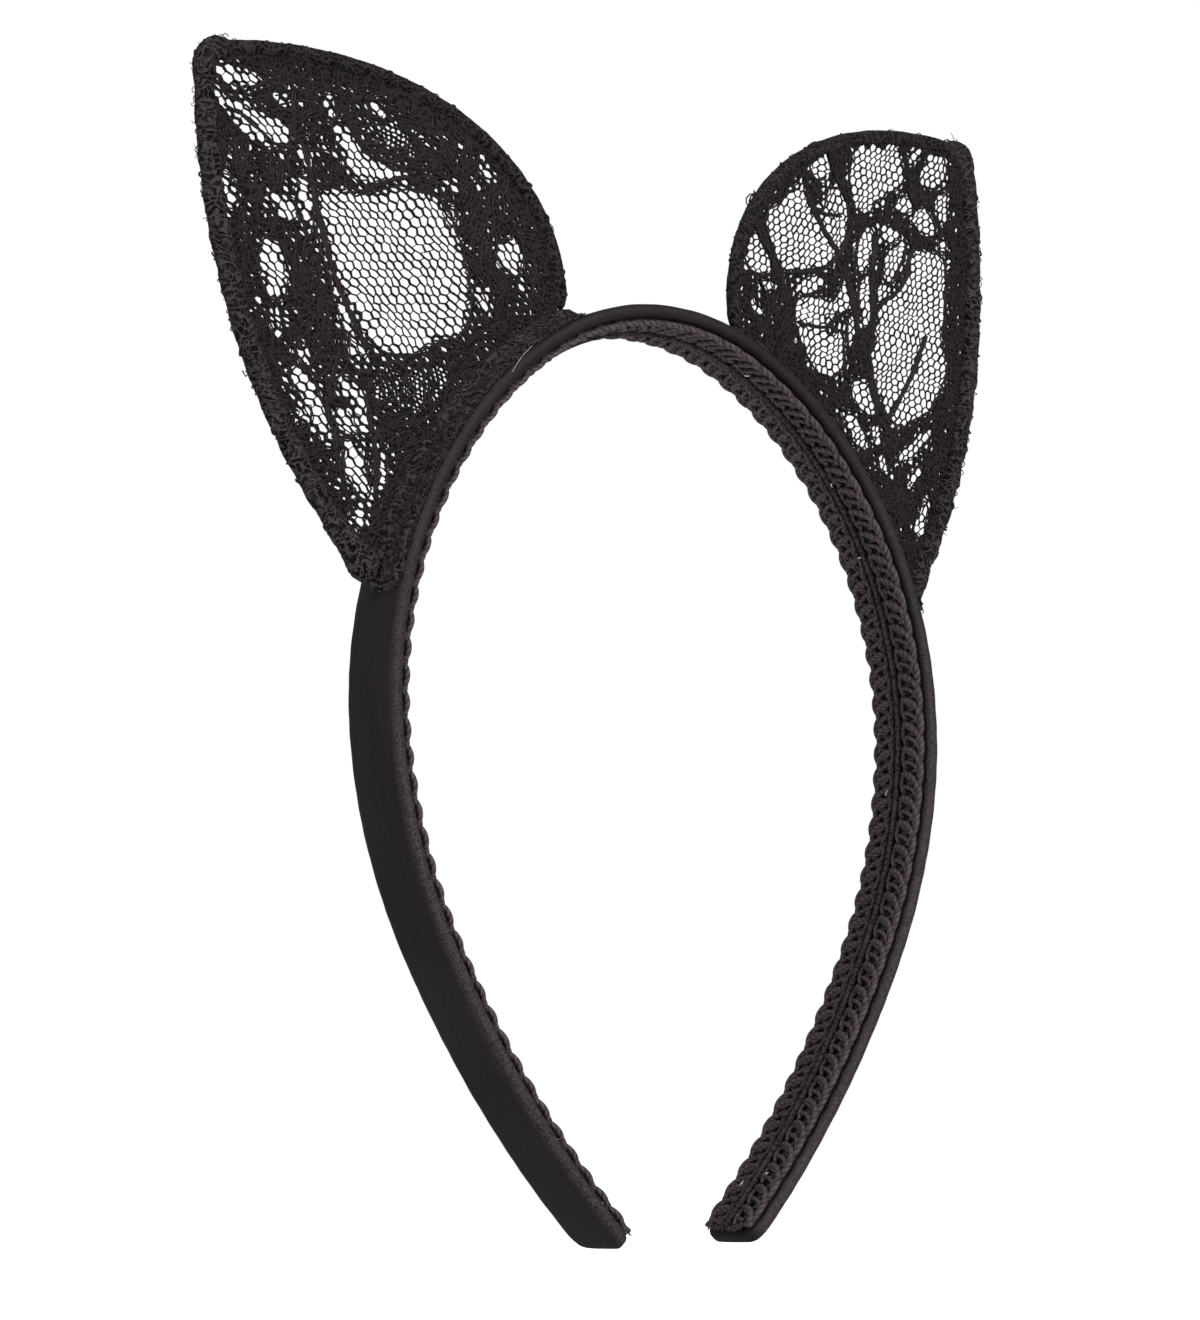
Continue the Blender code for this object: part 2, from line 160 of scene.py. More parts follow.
# ---------------------------------------------------------------- mesh helpers
class Builder:
    """Collects vertices, faces, UVs and material numbers for one mesh."""

    def __init__(self):
        self.verts = []
        self.faces = []
        self.uvs = []
        self.slots = []

    def face(self, corners, uvs, slot=0):
        self.faces.append(corners)
        self.uvs.append(uvs)
        self.slots.append(slot)

    def tube(self, path, radius, sides, flat=1.0, slot=0, closed=False):
        """A tube along path; radius is one number or one for each point."""
        points = [Vector(p) for p in path]
        count = len(points)
        radii = [radius] * count if isinstance(radius, float) else radius
        base = len(self.verts)
        side = None
        lengths = [0.0]
        for i, p in enumerate(points):
            if closed:
                along = points[(i + 1) % count] - points[i - 1]
            else:
                along = points[min(count - 1, i + 1)] - points[max(0, i - 1)]
            along.normalize()
            if side is None:
                side = along.orthogonal()
            side = side - along * along.dot(side)
            side.normalize()
            up = side.cross(along)
            if i:
                lengths.append(lengths[-1] + (p - points[i - 1]).length)
            for k in range(sides):
                a = 2 * math.pi * k / sides
                self.verts.append(
                    p + side * (radii[i] * math.cos(a)) + up * (radii[i] * flat * math.sin(a))
                )
        for i in range(count if closed else count - 1):
            j = (i + 1) % count
            here, there = base + i * sides, base + j * sides
            u0 = lengths[i]
            u1 = lengths[j] if j else u0 + (points[0] - points[i]).length
            for k in range(sides):
                m = (k + 1) % sides
                v0, v1 = k / sides, (k + 1) / sides
                self.face(
                    (here + k, there + k, there + m, here + m),
                    ((u0, v0), (u1, v0), (u1, v1), (u0, v1)),
                    slot,
                )
        if not closed:
            for i, order in ((0, 1), (count - 1, -1)):
                cap = tuple(base + i * sides + k for k in range(sides))[::order]
                self.face(cap, tuple((lengths[i], k / sides) for k in range(sides)), slot)

    def rings(self, rings, us, vs, slot=0, start_cap=True):
        """Closed rings of the same number of points joined into one skin."""
        base = len(self.verts)
        count = len(rings[0])
        for ring in rings:
            self.verts.extend(ring)
        for i in range(len(rings) - 1):
            here = base + i * count
            there = here + count
            for k in range(count):
                m = (k + 1) % count
                self.face(
                    (here + k, here + m, there + m, there + k),
                    ((us[i], vs[k]), (us[i], vs[k + 1]), (us[i + 1], vs[k + 1]), (us[i + 1], vs[k])),
                    slot,
                )
        caps = ((0, -1), (len(rings) - 1, 1))
        for i, order in caps if start_cap else caps[1:]:
            cap = tuple(base + i * count + k for k in range(count))[::order]
            self.face(cap, tuple((us[i], vs[k]) for k in range(count))[::order], slot)

    def make(self, name, materials):
        mesh = bpy.data.meshes.new(name)
        mesh.from_pydata([tuple(v) for v in self.verts], [], self.faces)
        layer = mesh.uv_layers.new(name="UVMap")
        layer.data.foreach_set("uv", [c for face in self.uvs for pair in face for c in pair])
        for material in materials:
            mesh.materials.append(material)
        mesh.polygons.foreach_set("material_index", self.slots)
        mesh.polygons.foreach_set("use_smooth", [True] * len(self.faces))
        mesh.validate()
        mesh.update()
        obj = bpy.data.objects.new(name, mesh)
        bpy.context.scene.collection.objects.link(obj)
        return obj


def wave(seed, t):
    """Smooth noise from -1 to 1 along t."""
    return noise.noise(Vector((t, seed * 7.31, seed * 3.17)))


# ---------------------------------------------------------------- materials
class Nodes:
    """A short way to write a procedural material."""

    def __init__(self, name, **settings):
        self.material = bpy.data.materials.new(name)
        self.material.use_nodes = True
        self.tree = self.material.node_tree
        self.shader = self.tree.nodes["Principled BSDF"]
        self.shade(**settings)

    def shade(self, **settings):
        """Set or link the shader's own sockets."""
        for key, value in settings.items():
            self.put(self.shader.inputs[key.replace("_", " ")], value)

    def add(self, kind, inputs, **props):
        node = self.tree.nodes.new(kind)
        for key, value in props.items():
            setattr(node, key, value)
        for key, value in inputs.items():
            self.put(node.inputs[key], value)
        return node

    def put(self, socket, value):
        if isinstance(value, bpy.types.NodeSocket):
            self.tree.links.new(value, socket)
        else:
            socket.default_value = value

    def math(self, operation, a, b=0.0):
        return self.add("ShaderNodeMath", {0: a, 1: b}, operation=operation).outputs[0]

    def times(self, a, b):
        return self.math("MULTIPLY", a, b)

    def plus(self, a, b):
        return self.math("ADD", a, b)

    def ramp(self, value, low, high, a=0.0, b=1.0):
        inputs = {"Value": value, "From Min": low, "From Max": high, "To Min": a, "To Max": b}
        return self.add("ShaderNodeMapRange", inputs).outputs["Result"]

    def mix(self, factor, a, b):
        node = self.add("ShaderNodeMix", {"Factor": factor}, data_type="RGBA")
        colours = [s for s in node.inputs if s.name in ("A", "B") and s.type == "RGBA"]
        self.put(colours[0], a)
        self.put(colours[1], b)
        return [s for s in node.outputs if s.type == "RGBA"][0]

    def split(self, vector):
        return self.add("ShaderNodeSeparateXYZ", {0: vector}).outputs

    def uv(self):
        return self.split(self.add("ShaderNodeTexCoord", {}).outputs["UV"])[:2]

    def point(self):
        return self.add("ShaderNodeTexCoord", {}).outputs["Object"]

    def streaks(self, u, v, detail):
        """Noise drawn out along a ribbon or a cord."""
        vector = self.add("ShaderNodeCombineXYZ", {0: u, 1: v}).outputs[0]
        return self.noise(vector, 1.0, detail)

    def noise(self, vector, scale, detail=3.0, rough=0.5):
        inputs = {"Vector": vector, "Scale": scale, "Detail": detail, "Roughness": rough}
        return self.add("ShaderNodeTexNoise", inputs).outputs["Fac"]

    def bump(self, height, distance, strength):
        inputs = {"Height": height, "Distance": distance, "Strength": strength}
        return self.add("ShaderNodeBump", inputs)


def grey(value, warm):
    """A dark, slightly warm neutral colour."""
    return (value * (1 + warm), value * (1 - 0.35 * warm), value, 1.0)


def cloth(name, specular, sheen, sheen_roughness):
    """A dark textile whose gloss is slightly warm."""
    warm = (1.0, 0.86, 0.89, 1.0)
    return Nodes(
        name, Specular_IOR_Level=specular, Specular_Tint=warm,
        Sheen_Weight=sheen, Sheen_Roughness=sheen_roughness, Sheen_Tint=warm,
    )


def satin_material():
    """Satin ribbon: fine lengthwise floats, soft sheen, and a pale speckled painted highlight along the
    folds that fades out at the crown.
    """
    weft_pitch = 0.42 * MM
    # Painted highlight on the folds: how far from the band's middle it starts and is full, and the
    # stretch from the crown over which it fades in.
    fold_from, fold_to = 5.9 * MM, 7.4 * MM
    highlight_fade_from, highlight_fade_to = 40 * MM, 100 * MM
    n = cloth("satin_ribbon", 0.22, 0.012, 0.45)
    u, v = n.uv()
    floats = n.streaks(n.times(u, 900.0), n.times(v, 9000.0), 2.0)
    slow = n.streaks(n.times(u, 60.0), n.times(v, 220.0), 3.0)
    weft = n.math("SINE", n.times(u, 2 * math.pi / weft_pitch))
    grain = n.noise(n.point(), 2600.0, 2.0)
    tone = n.plus(n.times(floats, 0.5), n.times(slow, 0.5))
    flat = n.mix(n.ramp(tone, 0.3, 0.7), grey(0.0030, 0.20), grey(0.0110, 0.20))
    speck = n.noise(n.point(), 3400.0, 3.0, 0.7)
    # Painted highlight: a pale speckle on the folds, where the light catches the ribbon's rounded
    # edges.
    painted_fold_highlight = n.mix(n.ramp(speck, 0.36, 0.68), grey(0.003, 0.20), grey(0.046, 0.14))
    # Where the painted highlight lies: near the band's edges, across its folds.
    off_middle = n.plus(n.math("ABSOLUTE", n.split(n.point())[1]), n.times(slow, 0.7 * MM))
    fold = n.ramp(off_middle, fold_from, fold_to)
    # The painted highlight is faint at the crown and full down the legs.
    highlight_fade = n.ramp(n.math("ABSOLUTE", u), highlight_fade_from, highlight_fade_to, 0.05)
    height = n.plus(n.plus(n.times(weft, 0.25), floats), n.times(grain, 1.2))
    folds = n.bump(slow, 0.35 * MM, 0.5)
    n.put(folds.inputs["Normal"], n.bump(height, 0.06 * MM, 0.8).outputs["Normal"])
    n.shade(
        Base_Color=n.mix(n.times(fold, highlight_fade), flat, painted_fold_highlight),
        Roughness=n.ramp(n.plus(floats, grain), 0.6, 1.4, 0.48, 0.66),
        Normal=folds.outputs["Normal"],
    )
    return n.material


def cord_material(name, dark, light, pitch, warm, sheen):
    """Twisted thread: slanting plies along a tube, with dark gaps between them."""
    n = cloth(name, 0.30, sheen, 0.5)
    u, v = n.uv()
    turn = n.plus(n.times(u, 1.0 / pitch), n.times(v, 2.0))
    ply = n.math("ABSOLUTE", n.math("SINE", n.times(turn, math.pi)))
    fibre = n.noise(n.point(), 5200.0, 3.0, 0.6)
    slow = n.noise(n.point(), 260.0, 2.0)
    tone = n.plus(n.times(ply, 0.6), n.times(fibre, 0.4))
    colour = n.mix(n.ramp(tone, 0.15, 0.95), grey(dark, warm), grey(light, warm))
    shaded = n.mix(n.ramp(slow, 0.35, 0.65), colour, grey(light * 0.8, warm * 2.2))
    height = n.plus(ply, n.times(fibre, 0.35))
    n.shade(
        Base_Color=n.mix(0.35, colour, shaded),
        Roughness=n.ramp(fibre, 0.3, 0.7, 0.40, 0.70),
        Normal=n.bump(height, 0.09 * MM, 0.9).outputs["Normal"],
    )
    return n.material


def lace_material(name, dark, light, scale, warm, gap):
    """Packed lace threads running two ways; gap is the share of them that stays dark."""
    n = cloth(name, 0.12, 0.02, 0.55)
    p = n.point()
    x, _, z = n.split(p)
    sway = n.times(n.noise(p, 620.0), 26.0)
    turn = n.times(n.noise(p, 300.0, 2.0), 34.0)
    across = n.math("SINE", n.plus(n.times(x, scale), sway))
    rise = n.math("SINE", n.math("SUBTRACT", n.times(z, scale), turn))
    thread = n.math("MAXIMUM", across, rise)
    fibre = n.times(n.noise(p, 4200.0, 3.0, 0.65), 0.8)
    tone = n.plus(n.times(thread, 0.5), fibre)
    colour = n.mix(n.ramp(tone, gap, 1.0), grey(dark, warm), grey(light, warm))
    cool = (light * 0.6, light * 0.54, light * 0.68, 1.0)
    tint = n.mix(n.ramp(n.noise(p, 420.0), 0.45, 0.7), colour, cool)
    n.shade(
        Base_Color=n.mix(0.4, colour, tint),
        Roughness=n.ramp(fibre, 0.24, 0.56, 0.62, 0.92),
        Normal=n.bump(n.plus(thread, fibre), 0.12 * MM, 0.9).outputs["Normal"],
    )
    return n.material


def plain_material(name, colour, roughness, metallic, grain, depth):
    """A hard material with a fine grain and slight wear."""
    n = Nodes(name, Metallic=metallic)
    p = n.point()
    fine = n.noise(p, grain)
    worn = tuple(min(1.0, c * 1.5 + 0.01) for c in colour)
    n.shade(
        Base_Color=n.mix(n.noise(p, grain * 0.08, 2.0), (*colour, 1.0), (*worn, 1.0)),
        Roughness=n.ramp(fine, 0.3, 0.7, roughness * 0.8, roughness * 1.25),
        Normal=n.bump(fine, depth, 0.5).outputs["Normal"],
    )
    return n.material


def glue_material():
    """Cloudy hot-melt glue."""
    n = Nodes("hot_melt_glue", Transmission_Weight=0.5, Specular_IOR_Level=0.5)
    fine = n.noise(n.point(), 900.0)
    n.shade(
        Base_Color=n.mix(fine, (0.50, 0.48, 0.42, 1.0), (0.80, 0.78, 0.72, 1.0)),
        Roughness=n.ramp(fine, 0.3, 0.7, 0.2, 0.45),
        Normal=n.bump(fine, 0.2 * MM, 0.6).outputs["Normal"],
    )
    return n.material


def floor_material():
    n = Nodes("studio_floor", Roughness=0.9, Specular_IOR_Level=0.1)
    n.shade(Emission_Color=(1.0, 1.0, 1.0, 1.0), Emission_Strength=0.78)
    fine = n.noise(n.point(), 40.0)
    n.shade(Base_Color=n.mix(fine, (0.86, 0.86, 0.86, 1.0), (0.90, 0.90, 0.90, 1.0)))
    return n.material


SATIN = satin_material()
GIMP_CORD = cord_material("gimp_cord", 0.002, 0.060, 1.1 * MM, 0.18, 0.04)
GIMP_FLAT = lace_material("gimp_flat_cord", 0.006, 0.040, 7000.0, 0.18, 0.10)
GIMP_BASE = lace_material("gimp_ground", 0.005, 0.032, 6000.0, 0.16, 0.10)
LACE_SOLID = lace_material("lace_motif", 0.0005, 0.016, 6500.0, 0.18, 0.30)
LACE_CORD = cord_material("lace_cord", 0.0006, 0.012, 0.9 * MM, 0.18, 0.02)
BINDING = lace_material("rolled_lace", 0.0005, 0.044, 5200.0, 0.16, 0.60)
RIM = lace_material("covered_wire", 0.0006, 0.024, 5600.0, 0.15, 0.50)
FUZZ = cord_material("loose_thread", 0.0008, 0.026, 0.8 * MM, 0.14, 0.02)
GLUE = glue_material()
HOOP_PLASTIC = plain_material("hoop_plastic", (0.012, 0.012, 0.013), 0.45, 0.0, 1500.0, 0.05 * MM)
EAR_WIRE = plain_material("ear_wire", (0.06, 0.058, 0.056), 0.4, 0.9, 3000.0, 0.04 * MM)
PALE_FIBRE = plain_material("pale_fibre", (0.45, 0.43, 0.42), 0.6, 0.0, 3000.0, 0.03 * MM)


# ---------------------------------------------------------------- camera, floor, light
YAW, PITCH, ROLL = math.radians(34.50), math.radians(-6.21), math.radians(1.70)
DISTANCE = 0.640
VIEW_HEIGHT = 0.2112
# The object sits a little right of and below the middle of the view.
OFF_RIGHT, OFF_UP = 0.01313, -0.00641
# The leg tips swing 7 mm down when the hoop is spread.
TIP_ROOM = 8.5 * MM
AMBIENT = 0.24
WHITE = (1.0, 1.0, 1.0, 1.0)

LOWEST = cad_box[0][2]
TARGET = Vector((0.0, 0.0, LOWEST + 0.4726 * (cad_box[1][2] - LOWEST)))
FORWARD = Vector((math.sin(YAW), math.cos(YAW), 0.0))
RIGHT = Vector((math.cos(YAW), -math.sin(YAW), 0.0))
UP = Vector((0.0, 0.0, 1.0))


def set_camera():
    look = FORWARD * math.cos(PITCH) - UP * math.sin(PITCH)
    over = UP * math.cos(PITCH) + FORWARD * math.sin(PITCH)
    turned_right = RIGHT * math.cos(ROLL) - over * math.sin(ROLL)
    turned_up = over * math.cos(ROLL) + RIGHT * math.sin(ROLL)
    aim = (look - turned_right * OFF_RIGHT - turned_up * OFF_UP).normalized()
    side = (turned_right - aim * aim.dot(turned_right)).normalized()
    top = side.cross(aim)
    camera = bpy.data.cameras.new("camera")
    camera.sensor_fit = "VERTICAL"
    camera.sensor_height = 24.0
    camera.lens = camera.sensor_height * DISTANCE / VIEW_HEIGHT
    camera.clip_start = 0.01
    camera.clip_end = 20.0
    holder = bpy.data.objects.new("camera", camera)
    turn = Matrix(((side.x, top.x, -aim.x), (side.y, top.y, -aim.y), (side.z, top.z, -aim.z)))
    holder.matrix_world = Matrix.Translation(TARGET - look * DISTANCE) @ turn.to_4x4()
    bpy.context.scene.collection.objects.link(holder)
    bpy.context.scene.camera = holder


def set_floor():
    """A wide pale disc just under the leg tips."""
    radius, sides = 6.0, 48
    disc = Builder()
    for k in range(sides):
        a = 2 * math.pi * k / sides
        disc.verts.append(Vector((radius * math.cos(a), radius * math.sin(a), LOWEST - TIP_ROOM)))
    disc.face(tuple(range(sides)), ((0.0, 0.0),) * sides)
    floor = disc.make("floor", [floor_material()])
    floor.visible_glossy = False


def set_world():
    """A white backdrop to the camera, and a dim even light on the object."""
    world = bpy.data.worlds.new("studio")
    world.use_nodes = True
    nodes, links = world.node_tree.nodes, world.node_tree.links
    sky = nodes["Background"]
    sky.inputs["Color"].default_value = WHITE
    level = nodes.new("ShaderNodeMapRange")
    level.inputs["To Min"].default_value = AMBIENT
    links.new(nodes.new("ShaderNodeLightPath").outputs["Is Camera Ray"], level.inputs["Value"])
    links.new(level.outputs["Result"], sky.inputs["Strength"])
    bpy.context.scene.world = world
    bpy.context.scene.view_settings.view_transform = "Standard"


def add_light(name, place, size, power):
    """A soft light at (right, forward, up) from the middle of the view."""
    light = bpy.data.lights.new(name, "AREA")
    light.shape = "RECTANGLE"
    light.size, light.size_y = size
    light.energy = power
    lamp = bpy.data.objects.new(name, light)
    lamp.location = TARGET + RIGHT * place[0] + FORWARD * place[1] + UP * place[2]
    lamp.rotation_euler = (TARGET - lamp.location).to_track_quat("-Z", "Y").to_euler()
    bpy.context.scene.collection.objects.link(lamp)


set_camera()
set_floor()
set_world()
add_light("key", (0.75, -0.80, 0.45), (0.35, 0.5), 11.0)
add_light("fill", (-0.62, -0.50, 0.85), (0.3, 0.3), 6.5)
add_light("top", (0.0, -0.25, 1.10), (0.6, 0.4), 1.5)


def bend_with_leg(piece, side):
    """Bake a band piece's placement into its mesh; the hoop points at both ends of the flex are found
    but not used, so nothing bends.
    """
    hoop_line(side * (HINGE_AT - FLEX_REACH))[0]
    hoop_line(side * (HINGE_AT + FLEX_REACH))[0]
    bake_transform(piece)


# ---------------------------------------------------------------- satin cover
FOLD_RADIUS = 0.85 * MM
CROWNING = 0.14 * MM


def cover_section():
    """(y, depth) points round the cover, finer at the folds, and the length round it."""
    flat = HALF_BAND - FOLD_RADIUS
    points = []
    for i in range(13):
        y = -flat + 2 * flat * i / 12
        points.append((y, -CROWNING * (1 - (y / HALF_BAND) ** 2)))

    def fold(y, depth, start, steps):
        """Part of a quarter turn from the angle start."""
        for i in steps:
            a = start - math.pi / 2 * i / 4
            points.append((y + FOLD_RADIUS * math.cos(a), depth - FOLD_RADIUS * math.sin(a)))

    inner = COVER_DEPTH - FOLD_RADIUS
    fold(flat, FOLD_RADIUS, math.pi / 2, range(1, 5))
    fold(flat, inner, 0.0, range(1, 5))
    for i in range(1, 6):
        points.append((flat - 2 * flat * i / 6, COVER_DEPTH))
    fold(-flat, inner, 1.5 * math.pi, range(4))
    fold(-flat, FOLD_RADIUS, math.pi, range(4))
    around = [0.0]
    for a, b in zip(points, points[1:] + points[:1]):
        around.append(around[-1] + math.hypot(b[0] - a[0], b[1] - a[1]))
    return points, around


def satin_ring(side, s, section):
    """The cover's section at s, with puckers at the folds and a thinner, rounded tip."""
    pucker_size, soft_size, drift_size = 0.045 * MM, 0.05 * MM, 0.06 * MM
    pucker_pitch = 0.85 * MM
    tip_length = 0.9 * MM
    middle = COVER_DEPTH / 2
    left = HOOP_LENGTH - s
    thin = 1.0 if left > tip_length else 0.55 + 0.45 * math.sqrt(left / tip_length)
    ring = []
    for y, d in section:
        edge = min(1.0, abs(y) / HALF_BAND) ** 6
        pucker = pucker_size * edge * math.sin(s / pucker_pitch + 2.5 * wave(3, s * 160 + y * 90))
        soft = soft_size * noise.noise(Vector((side * s * 110, y * 240, d * 300)))
        lift = (pucker + soft) * (1.0 if d < middle else -1.0)
        if d > COVER_DEPTH - 0.2 * MM:
            lift = 0.0
        drift = drift_size * wave(5, side * s * 70) * edge
        ring.append(at_depth(side * s, y * tip_scale(s) + drift, middle + (d - middle) * thin - lift))
    return ring


def make_satin(side, label):
    """One half of the ribbon sleeve; both halves meet in an open ring at the crown."""
    section, around = cover_section()
    stations = [i * MM for i in range(int((HOOP_LENGTH - TIP_RADIUS) / MM) + 1)]
    stations += [HOOP_LENGTH - back * MM for back in (2.6, 2.0, 1.4, 0.9, 0.5, 0.2, 0.0)]
    rings = [satin_ring(side, s, section) for s in stations]
    if side < 0:
        rings = [ring[::-1] for ring in rings]
        around = [around[-1] - a for a in around[::-1]]
    build = Builder()
    build.rings(rings, [side * s for s in stations], around, start_cap=False)
    obj = build.make(f"satin_{label}", [SATIN])
    bend_with_leg(obj, side)
    return obj


# ---------------------------------------------------------------- gimp braid
GIMP_END = HOOP_LENGTH - 1.2 * MM
# One turn of each looped cord, in mm: middle y, swing in y, swing along, start as a share of the
# pitch, radius, height over the ribbon, lift.
GIMP_LOOPS = (
    (3.45, 1.95, 0.95, 0.00, 0.45, 0.95, 0.36),
    (3.45, 1.85, 0.75, 0.50, 0.38, 0.78, 0.34),
    (3.05, 1.35, -0.70, 0.25, 0.33, 0.80, 0.28),
    (1.80, 0.42, -0.50, 0.76, 0.38, 1.02, 0.12),
)


def cord_on_band(side, course):
    """A path on the inside of the band from (s, y, height over the ribbon) points."""
    return [at_depth(side * s, y, COVER_DEPTH + height) for s, y, height in course]


def gimp_fit(s):
    """How much the braid narrows at s to stay on the rounded tip."""
    return min(1.0, (tip_scale(s) * HALF_BAND - 0.4 * MM) / (6.4 * MM))


def gimp_ground(build, side):
    """The flat strip under the cords."""
    rings, us = [], []
    s = 0.0
    while s < GIMP_END:
        half = min(5.5 * MM, tip_scale(s) * HALF_BAND - 0.5 * MM)
        section = ((-1.0, -0.02 * MM), (1.0, -0.02 * MM), (0.97, 0.40 * MM), (-0.97, 0.40 * MM))
        ring = cord_on_band(side, [(s, y * half, height) for y, height in section])
        rings.append(ring if side < 0 else ring[::-1])
        us.append(s)
        s += GIMP_PITCH / 5
    build.rings(rings, us, [0.0, 0.0106, 0.0110, 0.0216, 0.0220], slot=2)


def gimp_middle(build, side):
    """The plain flat cord along the middle."""
    count = int(GIMP_END / (0.9 * MM))
    course = [
        (GIMP_END * i / count, 0.10 * MM * wave(11, i * 0.3), 0.90 * MM) for i in range(count + 1)
    ]
    build.tube(cord_on_band(side, course), 1.60 * MM, sides=14, flat=0.34, slot=1)


def gimp_edging(build, side, edge):
    """The cord that runs in shallow scallops along one edge."""
    steps = 10
    course = []
    for i in range(int(GIMP_END / GIMP_PITCH * steps) + 1):
        s = GIMP_PITCH * i / steps
        bow = abs(math.sin(math.pi * s / GIMP_PITCH)) ** 0.7
        y = (5.15 + 1.05 * bow + 0.05 * wave(50 + edge, s * 900)) * MM
        course.append((s, edge * y * gimp_fit(s), (0.50 + 0.42 * bow) * MM))
    build.tube(cord_on_band(side, course), 0.46 * MM, sides=7)


def gimp_loop(build, side, edge, number):
    """One looped cord between the middle and an edge."""
    middle, swing, swing_along, phase, radius, high, lift = GIMP_LOOPS[number]
    steps = 18
    course = []
    for i in range(int(GIMP_END / GIMP_PITCH * steps) + 1):
        t = i / steps + phase
        angle = 2 * math.pi * t
        loose = 1.0 + 0.10 * wave(20 + number + edge, t * 1.7)
        s = GIMP_PITCH * (t - phase) + swing_along * MM * math.sin(angle) * loose
        y = middle + swing * math.cos(angle) * loose + 0.08 * wave(40 + number + edge, t * 0.9)
        height = high - lift * math.sin(angle) + 0.05 * wave(31 + number, t * 2.3)
        if -0.6 * MM <= s <= GIMP_END:
            course.append((s, edge * y * MM * gimp_fit(s), height * MM))
    build.tube(cord_on_band(side, course), radius * MM, sides=7)


def gimp_cut_end(build, side):
    """Loose threads at the braid's cut end."""
    rng = random.Random(5 + int(side))
    radii = [share * MM for share in (0.16, 0.15, 0.14, 0.12, 0.08)]
    for _ in range(26):
        y = rng.uniform(-4.4, 4.4) * MM
        bend = rng.uniform(-0.8, 0.8) * MM
        reach = rng.uniform(0.8, 2.2) * MM
        course = []
        for j in range(5):
            t = j / 4
            height = 0.4 + 0.7 * rng.random() + 0.4 * t
            course.append((GIMP_END - 0.6 * MM + reach * t, y + bend * t * t, height * MM))
        build.tube(cord_on_band(side, course), radii, sides=4)


def make_gimp(side, label):
    """Scroll gimp: a ground strip, a plain middle, and edging and looped cords on both sides."""
    build = Builder()
    gimp_ground(build, side)
    gimp_middle(build, side)
    for edge in (-1.0, 1.0):
        gimp_edging(build, side, edge)
    for edge in (-1.0, 1.0):
        for number in range(len(GIMP_LOOPS)):
            gimp_loop(build, side, edge, number)
    gimp_cut_end(build, side)
    obj = build.make(f"gimp_{label}", [GIMP_CORD, GIMP_FLAT, GIMP_BASE])
    bend_with_leg(obj, side)
    return obj


# ---------------------------------------------------------------- lace pattern
LOOP_STEP = 0.45
LINE_STEP = 0.5


def smooth_stretch(p0, p1, p2, p3, step):
    """Points from p1 up to p2 on a smooth curve that comes from p0 and goes on to p3."""
    number = max(2, int((p2 - p1).length / step))
    stretch = []
    for j in range(number):
        t = j / number
        stretch.append(
            0.5 * ((2 * p1) + (p2 - p0) * t + (2 * p0 - 5 * p1 + 4 * p2 - p3) * t * t
                   + (3 * p1 - p0 - 3 * p2 + p3) * t**3)
        )
    return stretch


def smooth_loop(points):
    """A closed smooth line through (x, z) points in mm."""
    corners = [Vector(p) for p in points]
    count = len(corners)
    loop = []
    for i in range(count):
        four = (corners[(i + j) % count] for j in (-1, 0, 1, 2))
        loop += smooth_stretch(*four, LOOP_STEP)
    return loop


def smooth_line(points):
    """An open smooth line through (x, z) points in mm."""
    corners = [Vector(p) for p in points]
    ends = [corners[0] * 2 - corners[1]] + corners + [corners[-1] * 2 - corners[-2]]
    line = []
    for i in range(1, len(ends) - 2):
        line += smooth_stretch(*ends[i - 1 : i + 3], LINE_STEP)
    return line + [corners[-1]]


